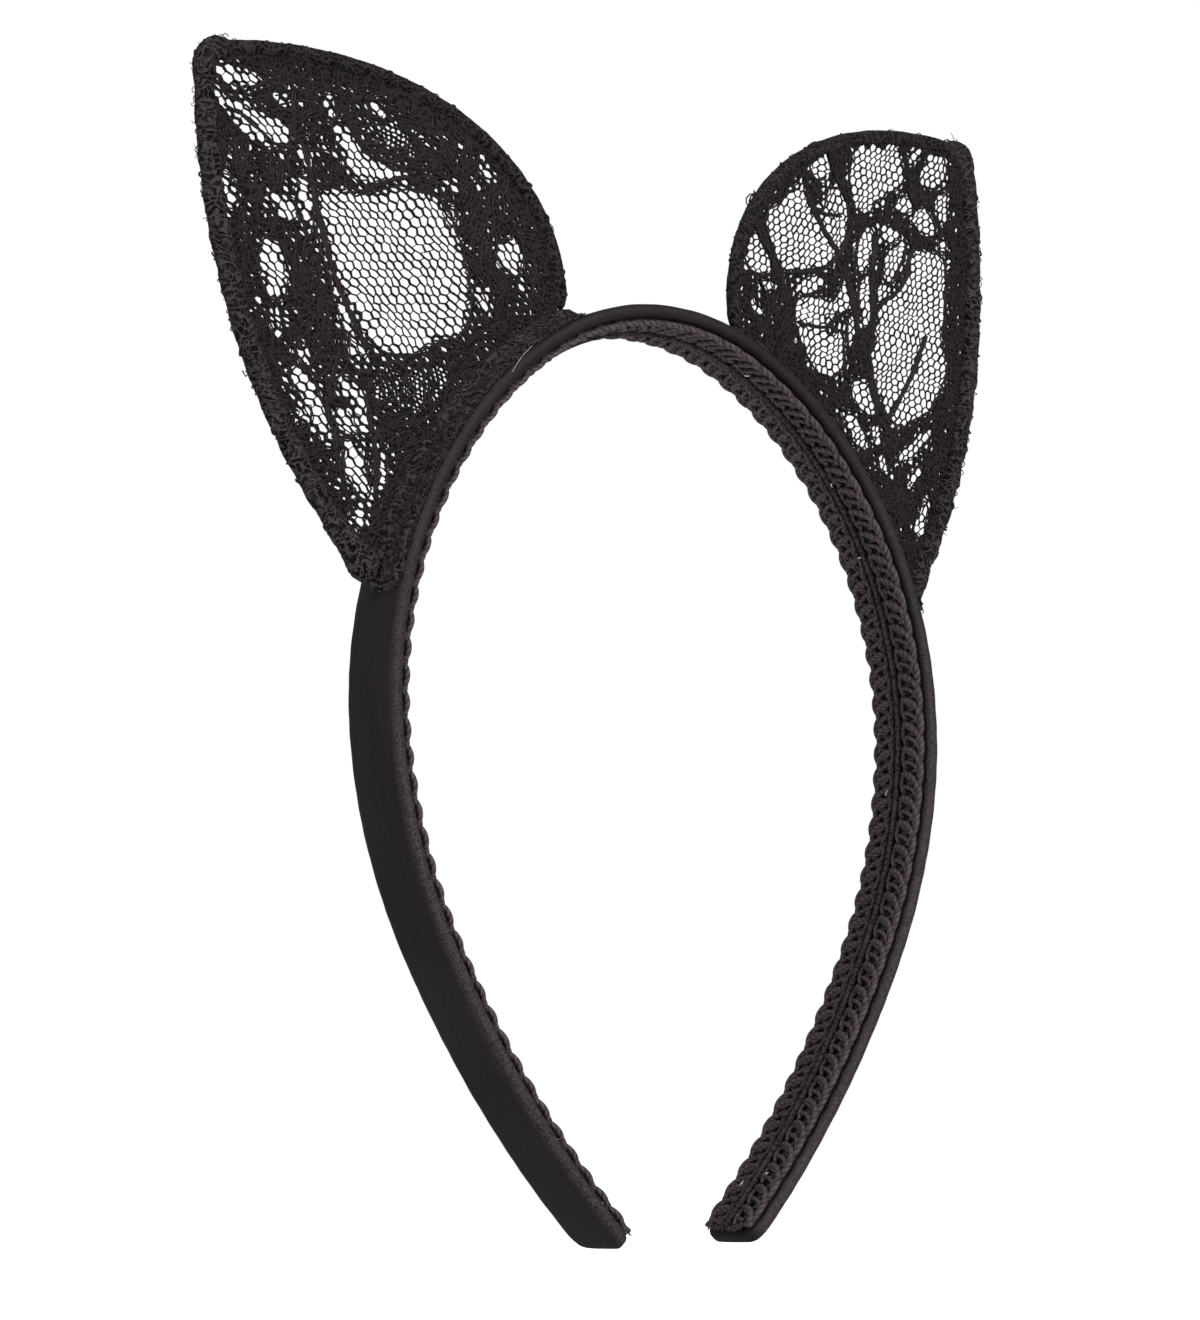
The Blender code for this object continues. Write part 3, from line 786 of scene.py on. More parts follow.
# Net windows in the floral lace, as (x, z) in mm on the ear, z over the seat.
LEFT_WINDOWS = (
    ((57.0, 18.5), (55.3, 9.0), (53.0, 1.0), (49.5, -5.0), (44.0, -6.8), (39.0, -4.5),
     (34.0, -2.5), (32.6, 2.0), (33.2, 9.0), (35.0, 16.0), (38.5, 19.4), (45.0, 20.0), (50.0, 18.6)),
    ((57.6, 12.0), (56.6, 13.2), (55.4, 6.0), (53.4, 1.0), (52.4, -3.5), (50.4, -7.0),
     (52.6, -8.2), (54.0, -3.6), (55.4, 2.0)),
    ((73.8, 33.6), (71.6, 29.6), (67.5, 26.0), (63.0, 25.0), (61.2, 27.0), (63.0, 29.8),
     (66.2, 30.6), (70.0, 32.2)),
    ((74.0, 37.4), (70.0, 37.6), (66.2, 36.8), (65.4, 34.8), (68.6, 34.4), (73.0, 35.4)),
    ((63.2, 33.4), (60.8, 33.6), (60.4, 31.6), (62.4, 31.8)),
    ((55.2, 33.6), (53.8, 34.0), (54.0, 30.4), (55.6, 30.4)),
    ((54.2, 28.8), (51.8, 29.2), (48.8, 25.4), (44.6, 23.4), (41.2, 22.6), (44.0, 21.6),
     (48.6, 21.0), (51.6, 22.4)),
    ((60.6, 24.6), (59.2, 25.8), (57.6, 22.6), (58.6, 22.0)),
    ((48.4, 33.8), (46.2, 33.6), (45.6, 31.4), (47.4, 32.0)),
    ((66.8, 9.6), (64.2, 10.0), (63.0, 6.0), (63.4, 1.0), (65.4, 0.6), (67.2, 4.0)),
    ((66.0, -0.6), (64.6, -0.4), (64.2, -4.6), (65.4, -5.0)),
    ((60.4, 20.4), (58.2, 20.6), (58.2, 14.0), (59.2, 11.0), (60.2, 15.0)),
    ((65.2, 17.4), (62.0, 16.8), (61.0, 14.0), (63.0, 13.6)),
    ((74.0, 19.6), (71.4, 19.8), (70.2, 15.4), (71.8, 14.8)),
    ((63.4, -10.4), (60.4, -10.2), (58.6, -13.8), (57.4, -18.0), (56.4, -22.6), (58.6, -20.8),
     (61.0, -15.6)),
    ((64.0, -13.2), (62.8, -13.4), (60.2, -17.0), (61.2, -18.0)),
    ((55.8, -11.6), (53.2, -11.4), (51.4, -13.6), (50.2, -18.0), (51.4, -18.2), (52.8, -16.0)),
    ((55.8, -16.0), (54.4, -16.2), (52.8, -19.4), (54.6, -20.0), (56.0, -18.6)),
    ((55.2, -21.4), (53.2, -21.2), (51.6, -25.0), (51.2, -29.6), (53.0, -29.6), (54.8, -26.0)),
    ((54.2, -30.4), (52.6, -30.4), (52.4, -34.0), (53.8, -34.4)),
    ((50.0, -21.6), (48.6, -21.8), (48.4, -27.4), (50.0, -27.8)),
    ((61.8, -6.4), (60.2, -6.2), (59.8, -8.8), (61.4, -9.0)),
    ((53.4, -4.6), (54.4, -4.2), (52.8, -8.6), (50.8, -9.0)),
    ((27.4, 12.0), (24.0, 12.6), (23.0, 10.2), (24.4, 7.4), (26.6, 8.4)),
    ((32.6, 6.2), (31.6, 6.6), (29.4, 1.2), (30.4, 0.4)),
    ((30.0, 25.4), (29.0, 25.2), (27.6, 23.0), (28.6, 23.0)),
    ((71.0, -5.2), (70.0, -5.2), (69.8, -10.4), (70.8, -10.2)),
    ((35.4, 17.6), (34.0, 17.6), (34.4, 14.6), (35.6, 15.4)),
)
LEFT_GRIDS = (
    ((52.5, 34.0), (48.5, 31.0), (44.0, 31.5), (41.0, 28.0), (41.0, 24.6), (45.4, 25.0), (49.0, 28.0)),
    ((49.0, -8.4), (40.0, -8.6), (36.0, -6.0), (38.0, -12.0), (44.0, -16.4), (49.4, -14.0)),
    ((59.0, 27.6), (55.8, 28.0), (54.8, 24.4), (57.6, 23.6)),
)
RIGHT_WINDOWS = (
    ((48.0, 36.6), (52.0, 39.4), (57.0, 39.2), (59.4, 36.0), (59.0, 32.6), (55.6, 30.4),
     (52.8, 28.8), (50.0, 26.2), (47.2, 26.6), (46.2, 30.0), (46.8, 33.8)),
    ((62.8, 34.0), (65.6, 37.6), (69.2, 39.8), (70.0, 36.4), (67.8, 33.2), (64.2, 32.4)),
    ((60.8, 36.6), (62.6, 39.0), (64.0, 39.2), (62.0, 36.4)),
    ((25.8, 22.0), (29.0, 25.0), (34.4, 28.8), (36.8, 25.2), (38.8, 24.6), (40.8, 28.8),
     (44.0, 29.2), (45.0, 26.0), (43.6, 20.6), (40.6, 16.2), (35.8, 14.6), (29.4, 13.6), (27.2, 16.4)),
    ((20.8, 16.6), (23.4, 19.2), (25.0, 16.8), (26.4, 13.6), (22.8, 12.2), (20.6, 13.6)),
    ((36.8, 32.6), (39.6, 36.0), (42.2, 35.2), (41.2, 31.6), (38.6, 30.4)),
    ((31.0, 10.4), (34.6, 13.0), (38.4, 13.4), (37.0, 11.0), (33.2, 9.6)),
    ((31.6, 8.6), (36.2, 9.8), (39.8, 9.4), (42.6, 13.6), (44.6, 15.4), (44.2, 10.4), (41.6, 7.4),
     (38.2, 6.4), (38.6, 3.6), (41.2, 4.6), (41.8, 1.6), (40.8, -2.4), (36.0, -3.4), (32.4, 0.4),
     (31.0, 4.8)),
    ((44.8, 10.2), (45.8, 9.6), (44.8, 4.0), (43.2, 1.6), (42.8, 4.6)),
    ((46.4, 19.0), (49.0, 23.4), (51.0, 22.8), (50.4, 18.4), (48.2, 15.6), (46.4, 15.8)),
    ((47.0, 13.6), (49.2, 14.8), (49.0, 9.0), (47.6, 5.4), (46.2, 7.0), (46.2, 10.4)),
    ((59.6, 20.4), (64.0, 20.8), (67.6, 19.8), (67.2, 12.6), (66.2, 6.6), (66.4, 0.6),
     (62.8, -5.6), (58.6, -8.6), (53.4, -10.4), (50.6, -7.6), (48.6, -1.6), (49.8, 4.4),
     (51.4, 9.8), (55.4, 12.2), (57.6, 15.4)),
    ((52.4, 17.4), (55.0, 20.4), (58.6, 21.6), (57.0, 17.6), (54.6, 14.6), (52.4, 15.0)),
    ((51.0, 13.2), (53.2, 13.6), (52.6, 11.4), (51.0, 10.8)),
    ((60.6, 26.4), (63.4, 28.8), (66.0, 25.4), (63.2, 23.8)),
    ((52.4, 23.0), (55.0, 24.2), (57.2, 22.6), (54.2, 21.4)),
    ((56.6, 28.4), (59.2, 30.4), (61.0, 28.8), (58.4, 26.8)),
    ((66.8, 30.6), (69.6, 32.2), (69.2, 28.2), (67.2, 26.2), (66.4, 28.0)),
    ((43.2, -4.2), (46.6, -3.8), (48.6, -8.4), (46.6, -9.4), (43.8, -7.6)),
    ((41.2, -9.8), (43.8, -10.6), (46.2, -15.2), (44.2, -15.6), (42.2, -12.8)),
    ((47.0, -11.4), (48.8, -11.6), (48.8, -14.2), (47.6, -14.0)),
    ((48.0, -15.6), (49.4, -16.0), (50.2, -19.4), (48.6, -18.6)),
    ((53.0, -17.0), (56.8, -15.6), (61.0, -11.6), (60.6, -10.4), (56.4, -13.2), (53.6, -14.8)),
    ((54.2, -21.0), (56.4, -18.6), (58.4, -16.8), (57.4, -19.0), (55.6, -21.2)),
    ((55.4, -29.8), (57.8, -29.0), (59.2, -24.4), (57.8, -24.2), (56.0, -27.0)),
    ((57.8, -23.2), (59.4, -21.8), (58.8, -23.6)),
    ((21.6, 7.2), (24.0, 5.6), (23.6, 4.8), (21.4, 6.2)),
    ((23.0, 10.6), (26.0, 11.2), (25.8, 9.6), (23.4, 9.2)),
    ((22.2, 24.4), (23.4, 25.8), (23.6, 24.2)),
    ((30.8, 30.2), (32.4, 31.4), (32.6, 30.4)),
    ((66.6, 22.6), (68.4, 23.2), (68.0, 21.6), (66.8, 21.4)),
)
RIGHT_GRIDS = (
    ((37.0, 29.6), (41.6, 31.0), (45.6, 31.6), (45.0, 28.0), (41.0, 30.0)),
    ((53.6, 27.8), (58.0, 30.2), (62.0, 31.0), (58.0, 27.0)),
)
# Thick threads that run free across the net.
LEFT_LINES = (
    ((59.6, 27.0), (58.2, 22.0), (57.6, 17.0), (56.4, 10.0), (54.4, 3.0), (52.4, -2.0), (50.4, -6.4)),
    ((60.0, 20.8), (57.0, 19.6), (53.4, 20.4), (50.0, 19.0), (46.6, 20.4), (42.6, 21.8), (38.6, 20.6)),
    ((52.4, 33.0), (50.6, 29.0), (47.4, 25.4), (43.6, 23.8), (40.2, 23.6)),
    ((74.4, 35.0), (71.0, 33.6), (67.4, 33.0), (64.6, 31.6), (62.0, 29.4), (60.0, 27.0)),
    ((71.6, 31.0), (68.4, 29.4), (66.0, 27.4), (63.8, 25.6), (60.6, 25.0)),
    ((60.2, 35.0), (60.4, 31.0), (60.0, 26.0)),
    ((60.6, 10.8), (61.6, 4.0), (61.0, -2.0), (61.4, -7.0)),
    ((55.6, -9.6), (57.2, -15.0), (56.4, -20.0), (55.6, -26.0), (53.8, -33.0)),
    ((49.8, -10.0), (50.6, -16.0), (49.6, -24.0), (50.2, -30.0)),
)
RIGHT_LINES = (
    ((61.0, 22.6), (59.2, 19.0), (57.4, 15.0), (54.4, 12.2), (50.8, 10.0)),
    ((61.8, 6.0), (58.6, 0.0), (55.8, -4.0), (52.8, -8.0), (49.4, -10.2)),
    ((35.4, 28.0), (37.0, 24.0), (39.6, 20.4), (43.2, 15.6), (45.0, 8.0), (46.4, 0.0), (49.0, -9.0)),
    ((26.8, 12.6), (33.4, 13.6), (38.4, 14.8), (42.6, 18.6), (46.2, 23.4), (50.6, 24.8), (57.0, 25.0),
     (66.0, 22.6)),
    ((24.4, 20.4), (26.0, 16.4), (27.8, 12.0)),
    ((31.4, 4.8), (35.0, 4.4), (38.0, 4.8), (40.4, 6.8)),
    ((51.6, 22.4), (49.8, 16.0), (49.4, 8.0), (47.6, 0.0), (49.2, -8.6)),
    ((59.6, 39.4), (60.4, 35.6), (60.8, 30.4), (64.2, 30.6), (69.6, 33.4)),
    ((36.2, 25.6), (39.4, 24.4), (42.6, 24.6)),
)

# Net: turn of its length, cell size in mm, stretch along its length, how far it spreads.
LEFT_NET = (math.radians(-41.0), 0.76, 1.28, 0.0)
RIGHT_NET = (math.radians(-50.0), 0.66, 1.45, 0.55)


def inside(points, polygon):
    """Which of the points lie inside a polygon; both as arrays of (x, z)."""
    x, y = points[:, 0], points[:, 1]
    found = np.zeros(len(points), bool)
    for (a, b), (c, d) in zip(polygon, np.roll(polygon, -1, axis=0)):
        if b != d:
            found ^= (y > min(b, d)) & (y <= max(b, d)) & (x < (c - a) * (y - b) / (d - b) + a)
    return found


def distance_to(points, loop):
    """Distance of each point to a closed line."""
    best = np.full(len(points), 1e9)
    for p, q in zip(loop, np.roll(loop, -1, axis=0)):
        d = q - p
        t = np.clip(((points - p) @ d) / max(1e-12, d @ d), 0, 1)
        best = np.minimum(best, np.linalg.norm(points - (p + t[:, None] * d), axis=1))
    return best


def depth_in(points, loops, reach):
    """How deep each point lies inside the nearest loop, negative outside, down to -reach."""
    best = np.full(len(points), -reach)
    for loop in loops:
        near = (points > loop.min(axis=0) - reach) & (points < loop.max(axis=0) + reach)
        near = np.nonzero(near.all(axis=1))[0]
        if len(near) == 0:
            continue
        spots = points[near]
        away = distance_to(spots, loop)
        best[near] = np.maximum(best[near], np.where(inside(spots, loop), away, -away))
    return best


def as_array(line):
    return np.array([(p.x, p.y) for p in line])


def heading(line, i):
    """Direction of an open line at its point i, and the direction to the right of it."""
    along = (line[min(len(line) - 1, i + 1)] - line[max(0, i - 1)]).normalized()
    return along, Vector((along.y, -along.x))


def ear_outline():
    """The lace's edge: along the wire and then back along the band, in mm."""
    line = wire_line(40)
    outline = [p + heading(line, i)[1] * 0.5 for i, p in enumerate(line)]
    for s in range(72, 17, -1):
        p = at_depth(s * MM, 0.0, -ROOT_HEIGHT)
        outline.append(Vector((p.x / MM, p.z / MM)))
    return as_array(outline)


def ruffle(loop, amount, seed):
    """The same loop with an uneven, thready edge."""
    out = []
    count = len(loop)
    for i, p in enumerate(loop):
        along = (loop[(i + 1) % count] - loop[i - 1]).normalized()
        out.append(p + Vector((along.y, -along.x)) * amount * wave(seed, i * 0.83))
    return out


def sheet_offset(x, z, seed):
    """How far the ear's lace stands off its plane, in mm."""
    broad = noise.noise(Vector((x * 0.07, z * 0.07, seed)))
    small = noise.noise(Vector((x * 0.35, z * 0.35, seed + 4.0)))
    return 0.55 * broad + 0.16 * small


def cell_grid(turn, size, stretch, seed, outline):
    """Six-sided net cells over an outline, slightly uneven: their corners and middles in mm."""
    low, high = outline.min(axis=0), outline.max(axis=0)
    middle = (low + high) / 2
    reach = int(np.linalg.norm(high - low) / (size * 1.4)) + 2
    corners = {}
    cells = []
    for i in range(-reach, reach):
        for j in range(-reach, reach):
            cell = []
            for k in range(6):
                a = math.pi / 3 * k
                px = i * size * 1.5 + size * math.cos(a)
                pz = ((j + 0.5 * (i % 2)) * size * math.sqrt(3) + size * math.sin(a)) * stretch
                key = (round(px * 40), round(pz * 40))
                if key not in corners:
                    wide = noise.noise(Vector((px * 0.22, pz * 0.22, seed + 9)))
                    px += 1.2 * wide + 0.36 * noise.noise(Vector((px * 1.3, pz * 1.3, seed)))
                    pz += 0.36 * noise.noise(Vector((px * 1.3, pz * 1.3, seed + 5)))
                    corners[key] = (
                        middle[0] + px * math.cos(turn) - pz * math.sin(turn),
                        middle[1] + px * math.sin(turn) + pz * math.cos(turn),
                    )
                cell.append(corners[key])
            cells.append(cell)
    cells = np.array(cells)
    mid = cells.mean(axis=1)
    ok = ((mid > low) & (mid < high)).all(axis=1)
    return cells[ok], mid[ok]


def edge_gap(points, outline):
    """Distance of each point inside the outline to it, and -1 outside."""
    return np.where(inside(points, outline), distance_to(points, outline), -1.0)


def middles(holes):
    """Middle of each opening and its reach from there."""
    centres = np.array([hole.mean(axis=0) for hole in holes])
    reach = np.array([np.linalg.norm(h - h.mean(axis=0), axis=1).max() for h in holes])
    return centres, reach


def open_share(rng, depth, fine, border, veil):
    """Open share of a net cell: most of it in a window, part of it round one, 0 if packed."""
    if depth > 0.45:
        return rng.uniform(0.86, 0.95)
    if depth > -0.45:
        return rng.uniform(0.45, 0.88)
    if depth > -1.7 and rng.random() < 0.62:
        return rng.uniform(0.22, 0.68)
    if fine <= -0.2 and veil > 0.04 and border > 2.6 and rng.random() < 0.9:
        return min(0.80, 0.34 + 1.4 * (veil - 0.04)) * rng.uniform(0.6, 1.1)
    return 0.0


def net_holes(rng, outline, windows, grids, net, seed):
    """Openings of the coarse net, and the middles of its packed cells."""
    turn, size, stretch, wider = net
    across = np.array((math.cos(turn), math.sin(turn)))
    cells, mid = cell_grid(turn, size, stretch, seed, outline)
    window_depth = depth_in(mid, windows, 2.0) + wider
    holes, packed = [], []
    for cell, m, border, depth, fine in zip(
        cells, mid, edge_gap(mid, outline), window_depth, depth_in(mid, grids, 1.0)
    ):
        if border < 1.05:
            continue
        veil = noise.noise(Vector((m[0] * 0.30, m[1] * 0.30, seed * 1.7)))
        share = open_share(rng, depth, fine, border, veil)
        if share:
            # the threads along the net's length are the thicker ones
            spread = cell - m
            spread = spread - np.outer(spread @ across, across) * rng.uniform(0.06, 0.26)
            holes.append(m + spread * share)
        elif fine > -0.2 or border > 2.0:
            packed.append(m)
    return holes, np.array(packed)


def fine_holes(rng, outline, windows, grids, turn, seed, holes, packed):
    """Openings of the fine net in its patches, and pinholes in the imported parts."""
    cells, mid = cell_grid(turn + 0.6, 0.47, 1.0, seed + 3, outline)
    centres, reach = middles(holes)
    grid_depth, window_depth = depth_in(mid, grids, 1.0), depth_in(mid, windows, 1.0)
    found = []
    for cell, m, grid, window, border in zip(
        cells, mid, grid_depth, window_depth, edge_gap(mid, outline)
    ):
        if border < 1.5 or window > -0.4:
            continue
        if (np.linalg.norm(centres - m, axis=1) < reach + 0.62).any():
            continue
        if grid > 0.1:
            found.append(m + (cell - m) * rng.uniform(0.62, 0.80))
        elif rng.random() < 0.38 and (np.linalg.norm(packed - m, axis=1) < 0.9).any():
            found.append(m + (cell - m) * rng.uniform(0.25, 0.60))
    return found


def filling(rng, outline, centres, reach):
    """Scattered points inside the outline and clear of the openings."""
    step = 0.80
    low, high = outline.min(axis=0), outline.max(axis=0)
    columns, rows = (int(share) + 1 for share in (high - low) / step)
    spots = []
    for i in range(columns):
        for j in range(rows):
            x = low[0] + (i + 0.35 * rng.uniform(-1, 1)) * step
            z = low[1] + (j + 0.35 * rng.uniform(-1, 1)) * step
            spots.append((x, z))
    spots = np.array(spots)
    spots = spots[inside(spots, outline) & (distance_to(spots, outline) > 0.35)]
    return [p for p in spots if not (np.linalg.norm(centres - p, axis=1) < reach + 0.12).any()]


def lace_triangles(outline, holes, seed):
    """Flat triangles between the outline and the openings: points and point numbers."""
    centres, reach = middles(holes)
    points, edges = [], []
    for loop in [outline, *holes]:
        base = len(points)
        points += [Vector(p) for p in loop]
        edges += [(base + i, base + (i + 1) % len(loop)) for i in range(len(loop))]
    points += [Vector(p) for p in filling(random.Random(seed + 1), outline, centres, reach)]
    found = geometry.delaunay_2d_cdt(points, edges, [], 0, 1e-5)
    points = as_array(found[0])
    triangles = np.array([f for f in found[2] if len(f) == 3])
    mid = points[triangles].mean(axis=1)
    good = inside(mid, outline)
    for hole, centre, size in zip(holes, centres, reach):
        near = np.nonzero((np.abs(mid - centre) < size).all(axis=1) & good)[0]
        if len(near):
            good[near[inside(mid[near], hole)]] = False
    triangles = triangles[good]
    corner = points[triangles]
    turned = np.cross(corner[:, 1] - corner[:, 0], corner[:, 2] - corner[:, 0]) < 0
    triangles[turned] = triangles[turned][:, ::-1]
    return points, triangles


def lace_skin(side, points, triangles, windows, seed):
    """Front, back and cut edges of the lace, thicker where it is packed."""
    build = Builder()
    used = sorted({int(i) for i in triangles.ravel()})
    number = len(used)
    index = {v: i for i, v in enumerate(used)}
    spots = points[used]
    open_by = -np.minimum(depth_in(spots, windows, 1.0), 0.0)
    for face in (1.0, -1.0):
        for (x, z), away in zip(spots, open_by):
            packed = min(1.0, away / 0.9)
            relief = 0.5 + 0.5 * noise.noise(Vector((x * 1.1, z * 1.1, seed + 9.0 + face)))
            ridge = abs(noise.noise(Vector((x * 0.42, z * 0.42, seed + 2.0))))
            thick = 0.10 + packed * (0.06 + 0.20 * relief + 0.9 * max(0.0, 0.16 - ridge))
            w = sheet_offset(x, z, seed) + face * thick
            build.verts.append(on_ear(side, x * MM, z * MM, w * MM))

    def add(*corners):
        corners = corners[:: int(side)]
        uvs = tuple((spots[i % number][0] * MM, spots[i % number][1] * MM) for i in corners)
        build.face(corners, uvs)

    border = {}
    for triangle in triangles:
        a, b, c = (index[int(i)] for i in triangle)
        add(a, b, c)
        add(c + number, b + number, a + number)
        for p, q in ((a, b), (b, c), (c, a)):
            if not border.pop((q, p), False):
                border[(p, q)] = True
    for p, q in border:
        add(q, p, p + number, q + number)
    return build


class Threads:
    """Raised threads laid over one ear's lace."""

    def __init__(self, side, seed, outline, windows):
        self.side = side
        self.seed = seed
        self.outline = outline
        self.windows = windows
        self.build = Builder()

    def lay(self, points, radius, w=0.0, wobble=0.07, sides=5, closed=False):
        """A thread through (x, z) points, w over the middle of the sheet, all in mm."""
        path = []
        for i, p in enumerate(points):
            x = p[0] + wobble * wave(self.seed + 3, i * 0.61 + p[0])
            z = p[1] + wobble * wave(self.seed + 6, i * 0.57 + p[1])
            height = sheet_offset(x, z, self.seed) + w
            path.append(on_ear(self.side, x * MM, z * MM, height * MM))
        self.build.tube(path, radius * MM, sides, closed=closed)

    def clear(self, points, gap):
        """Which points lie on packed lace, at least gap from its outline and its windows."""
        ok = inside(points, self.outline) & (distance_to(points, self.outline) > gap)
        return ok & (depth_in(points, self.windows, gap + 0.1) < -gap)


def window_threads(threads, rng, loop):
    """Three uneven turns of thread round a window, broken here and there."""
    centre = sum(loop, Vector((0.0, 0.0))) / len(loop)
    large = len(loop) * LOOP_STEP > 14
    for turn, radius in enumerate((0.20 if large else 0.15, 0.15, 0.13)):
        ring = ruffle(loop, 0.30 + 0.20 * turn, threads.seed + 31 * turn)
        ring = [p + (p - centre).normalized() * (0.28 * turn) for p in ring]
        start = rng.randrange(len(ring))
        ring = ring[start:] + ring[:start]
        cut = int(len(ring) * rng.uniform(0.45, 1.0))
        threads.lay(ring[:cut], radius, 0.10 * (turn % 2), 0.30)


def stem_threads(threads, line):
    """Three loosely twined threads along a line."""
    points = smooth_line(line)
    for dx, dz, radius, w, wobble in (
        (0.0, 0.0, 0.27, 0.0, 0.30),
        (0.36, 0.10, 0.22, 0.12, 0.50),
        (-0.32, -0.08, 0.18, -0.12, 0.60),
    ):
        threads.lay([(p[0] + dx, p[1] + dz) for p in points], radius, w, wobble)


def petal_places(threads, rng):
    """Middles of the petals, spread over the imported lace."""
    low, high = threads.outline.min(axis=0) + 2, threads.outline.max(axis=0) - 2
    tries = np.array([
        (rng.uniform(low[0], high[0]), rng.uniform(low[1], high[1])) for _ in range(2500)
    ])
    places = []
    for x, z in tries[threads.clear(tries, 0.8)]:
        if all((x - a) ** 2 + (z - b) ** 2 > 2.6**2 for a, b in places):
            places.append((x, z))
    return places


def petal_threads(threads, rng, x, z):
    """One petal drawn in raised thread on both faces: its outline, bars and vein."""
    turn = 3.0 * noise.noise(Vector((x * 0.05, z * 0.05, threads.seed + 20))) * math.pi
    long, wide = rng.uniform(1.7, 3.4), rng.uniform(0.6, 1.3)
    count = 22
    petal = []
    for k in range(count):
        a = 2 * math.pi * k / count
        px = long * math.cos(a)
        pz = wide * math.sin(a) * (1 - 0.35 * math.cos(a))
        petal.append((x + px * math.cos(turn) - pz * math.sin(turn),
                      z + px * math.sin(turn) + pz * math.cos(turn)))
    ok = threads.clear(np.array(petal), 0.05)
    if ok.mean() < 0.6:
        return
    run = [p for p, free in zip(petal, ok) if free]
    vein = [(x + d * long * math.cos(turn), z + d * long * math.sin(turn))
            for d in (-0.9, -0.45, 0.0, 0.45, 0.9)]
    for face in (0.24, -0.24):
        threads.lay(run, 0.18, face, 0.15, 4, closed=bool(ok.all()))
        for k in range(1, 10, 2):
            a, b = petal[k], petal[count - k]
            if ok[k] and ok[count - k]:
                middle = ((a[0] + b[0]) / 2, (a[1] + b[1]) / 2)
                threads.lay([a, middle, b], 0.10, face * 0.95, sides=4)
        if threads.clear(np.array(vein), 0.0).all():
            threads.lay(vein, 0.15, face, 0.2, 4)


def make_lace(side, label, windows, grids, lines, net, seed):
    """One ear's lace panel with its net and motif, and the raised threads over it."""
    outline = ear_outline()
    loops = [ruffle(smooth_loop(w), 0.25, seed + i) for i, w in enumerate(windows)]
    openings = [as_array(loop) for loop in loops]
    patches = [as_array(smooth_loop(grid)) for grid in grids]

    rng = random.Random(seed)
    holes, packed = net_holes(rng, outline, openings, patches, net, seed)
    holes += fine_holes(rng, outline, openings, patches, net[0], seed, holes, packed)
    skin = lace_skin(side, *lace_triangles(outline, holes, seed), openings, seed)

    rng = random.Random(seed)
    threads = Threads(side, seed, outline, openings)
    for loop in loops:
        window_threads(threads, rng, loop)
    for line in lines:
        stem_threads(threads, line)
    for x, z in petal_places(threads, rng):
        petal_threads(threads, rng, x, z)

    panel = skin.make(f"lace_{label}", [LACE_SOLID])
    raised = threads.build.make(f"lace_threads_{label}", [LACE_CORD])
    return panel, raised


# ---------------------------------------------------------------- ear edges
ROLL_STEP = 0.45
# The covered wire of the inner side and the rolled lace of the outer side: the part of the wire
# by share of its length, radius and reach of the loops in mm, and shares for the rest.
RIM_ROLL = SimpleNamespace(
    name="rim", material=RIM, start=0.0, stop=0.485, radius=1.20, uneven=0.10, sides=14, flat=0.98,
    corner=0.0, tip=0.0, wrap=1.04, wrap_every=5, loops=40, reach=(0.10, 0.28), frayed=False,
)
EDGE_ROLL = SimpleNamespace(
    name="edge", material=BINDING, start=0.455, stop=1.0, radius=1.66, uneven=0.20, sides=18, flat=0.92,
    corner=0.80, tip=0.15, wrap=1.06, wrap_every=3, loops=110, reach=(0.15, 0.55), frayed=True,
)


def ear_course(start, stop):
    """Part of the wire line by share of its length, evenly spaced, in mm."""
    line = wire_line(80)
    total = [0.0]
    for a, b in zip(line, line[1:]):
        total.append(total[-1] + (b - a).length)
    length = total[-1]
    count = int((stop - start) * length / ROLL_STEP)
    course = []
    for i in range(count + 1):
        want = length * (start + (stop - start) * i / count)
        j = min(len(line) - 2, max(0, int(np.searchsorted(total, want)) - 1))
        t = (want - total[j]) / max(1e-9, total[j + 1] - total[j])
        course.append(line[j].lerp(line[j + 1], t))
    return course


def roll_point(side, p, inward, radius, angle, flat):
    """A point of the roll round p, at an angle from the side that faces the lace."""
    x = p.x + inward.x * radius * math.cos(angle)
    z = p.y + inward.y * radius * math.cos(angle)
    return on_ear(side, x * MM, z * MM, radius * flat * math.sin(angle) * MM)


def roll_radius(roll, i, count):
    """The roll's radius: less at both ends, more at the ear's tip and lower corner."""
    taper = min(1.0, 0.45 + 0.55 * math.sqrt(min(1.0, min(i, count - 1 - i) / 5.0)))
    corner = max(0.0, (i / count - 0.86) / 0.14)
    tip = max(0.0, 1.0 - i / (count * 0.10))
    return roll.radius * (1.0 + roll.corner * corner**1.5 + roll.tip * tip) * taper


def roll_skin(build, side, roll, course, seed):
    """The lumpy roll itself."""
    rings = []
    for i, p in enumerate(course):
        inward = heading(course, i)[1]
        radius = roll_radius(roll, i, len(course))
        ring = []
        for k in range(roll.sides):
            angle = 2 * math.pi * k / roll.sides
            c, s = math.cos(angle), math.sin(angle)
            lumps = noise.noise(Vector((i * 0.21, 2.2 * c, 2.2 * s + seed)))
            spiral = math.sin(angle * 2 + i * 0.42)
            fine = noise.noise(Vector((i * 0.9, 5 * c, 5 * s + seed)))
            swell = 1 + roll.uneven * (0.55 * lumps + 0.30 * spiral + 0.35 * fine)
            ring.append(roll_point(side, p, inward, radius * swell, angle, roll.flat))
        rings.append(ring if side < 0 else ring[::-1])
    us = [i * ROLL_STEP * MM for i in range(len(course))]
    build.rings(rings, us, [k / roll.sides for k in range(roll.sides + 1)])


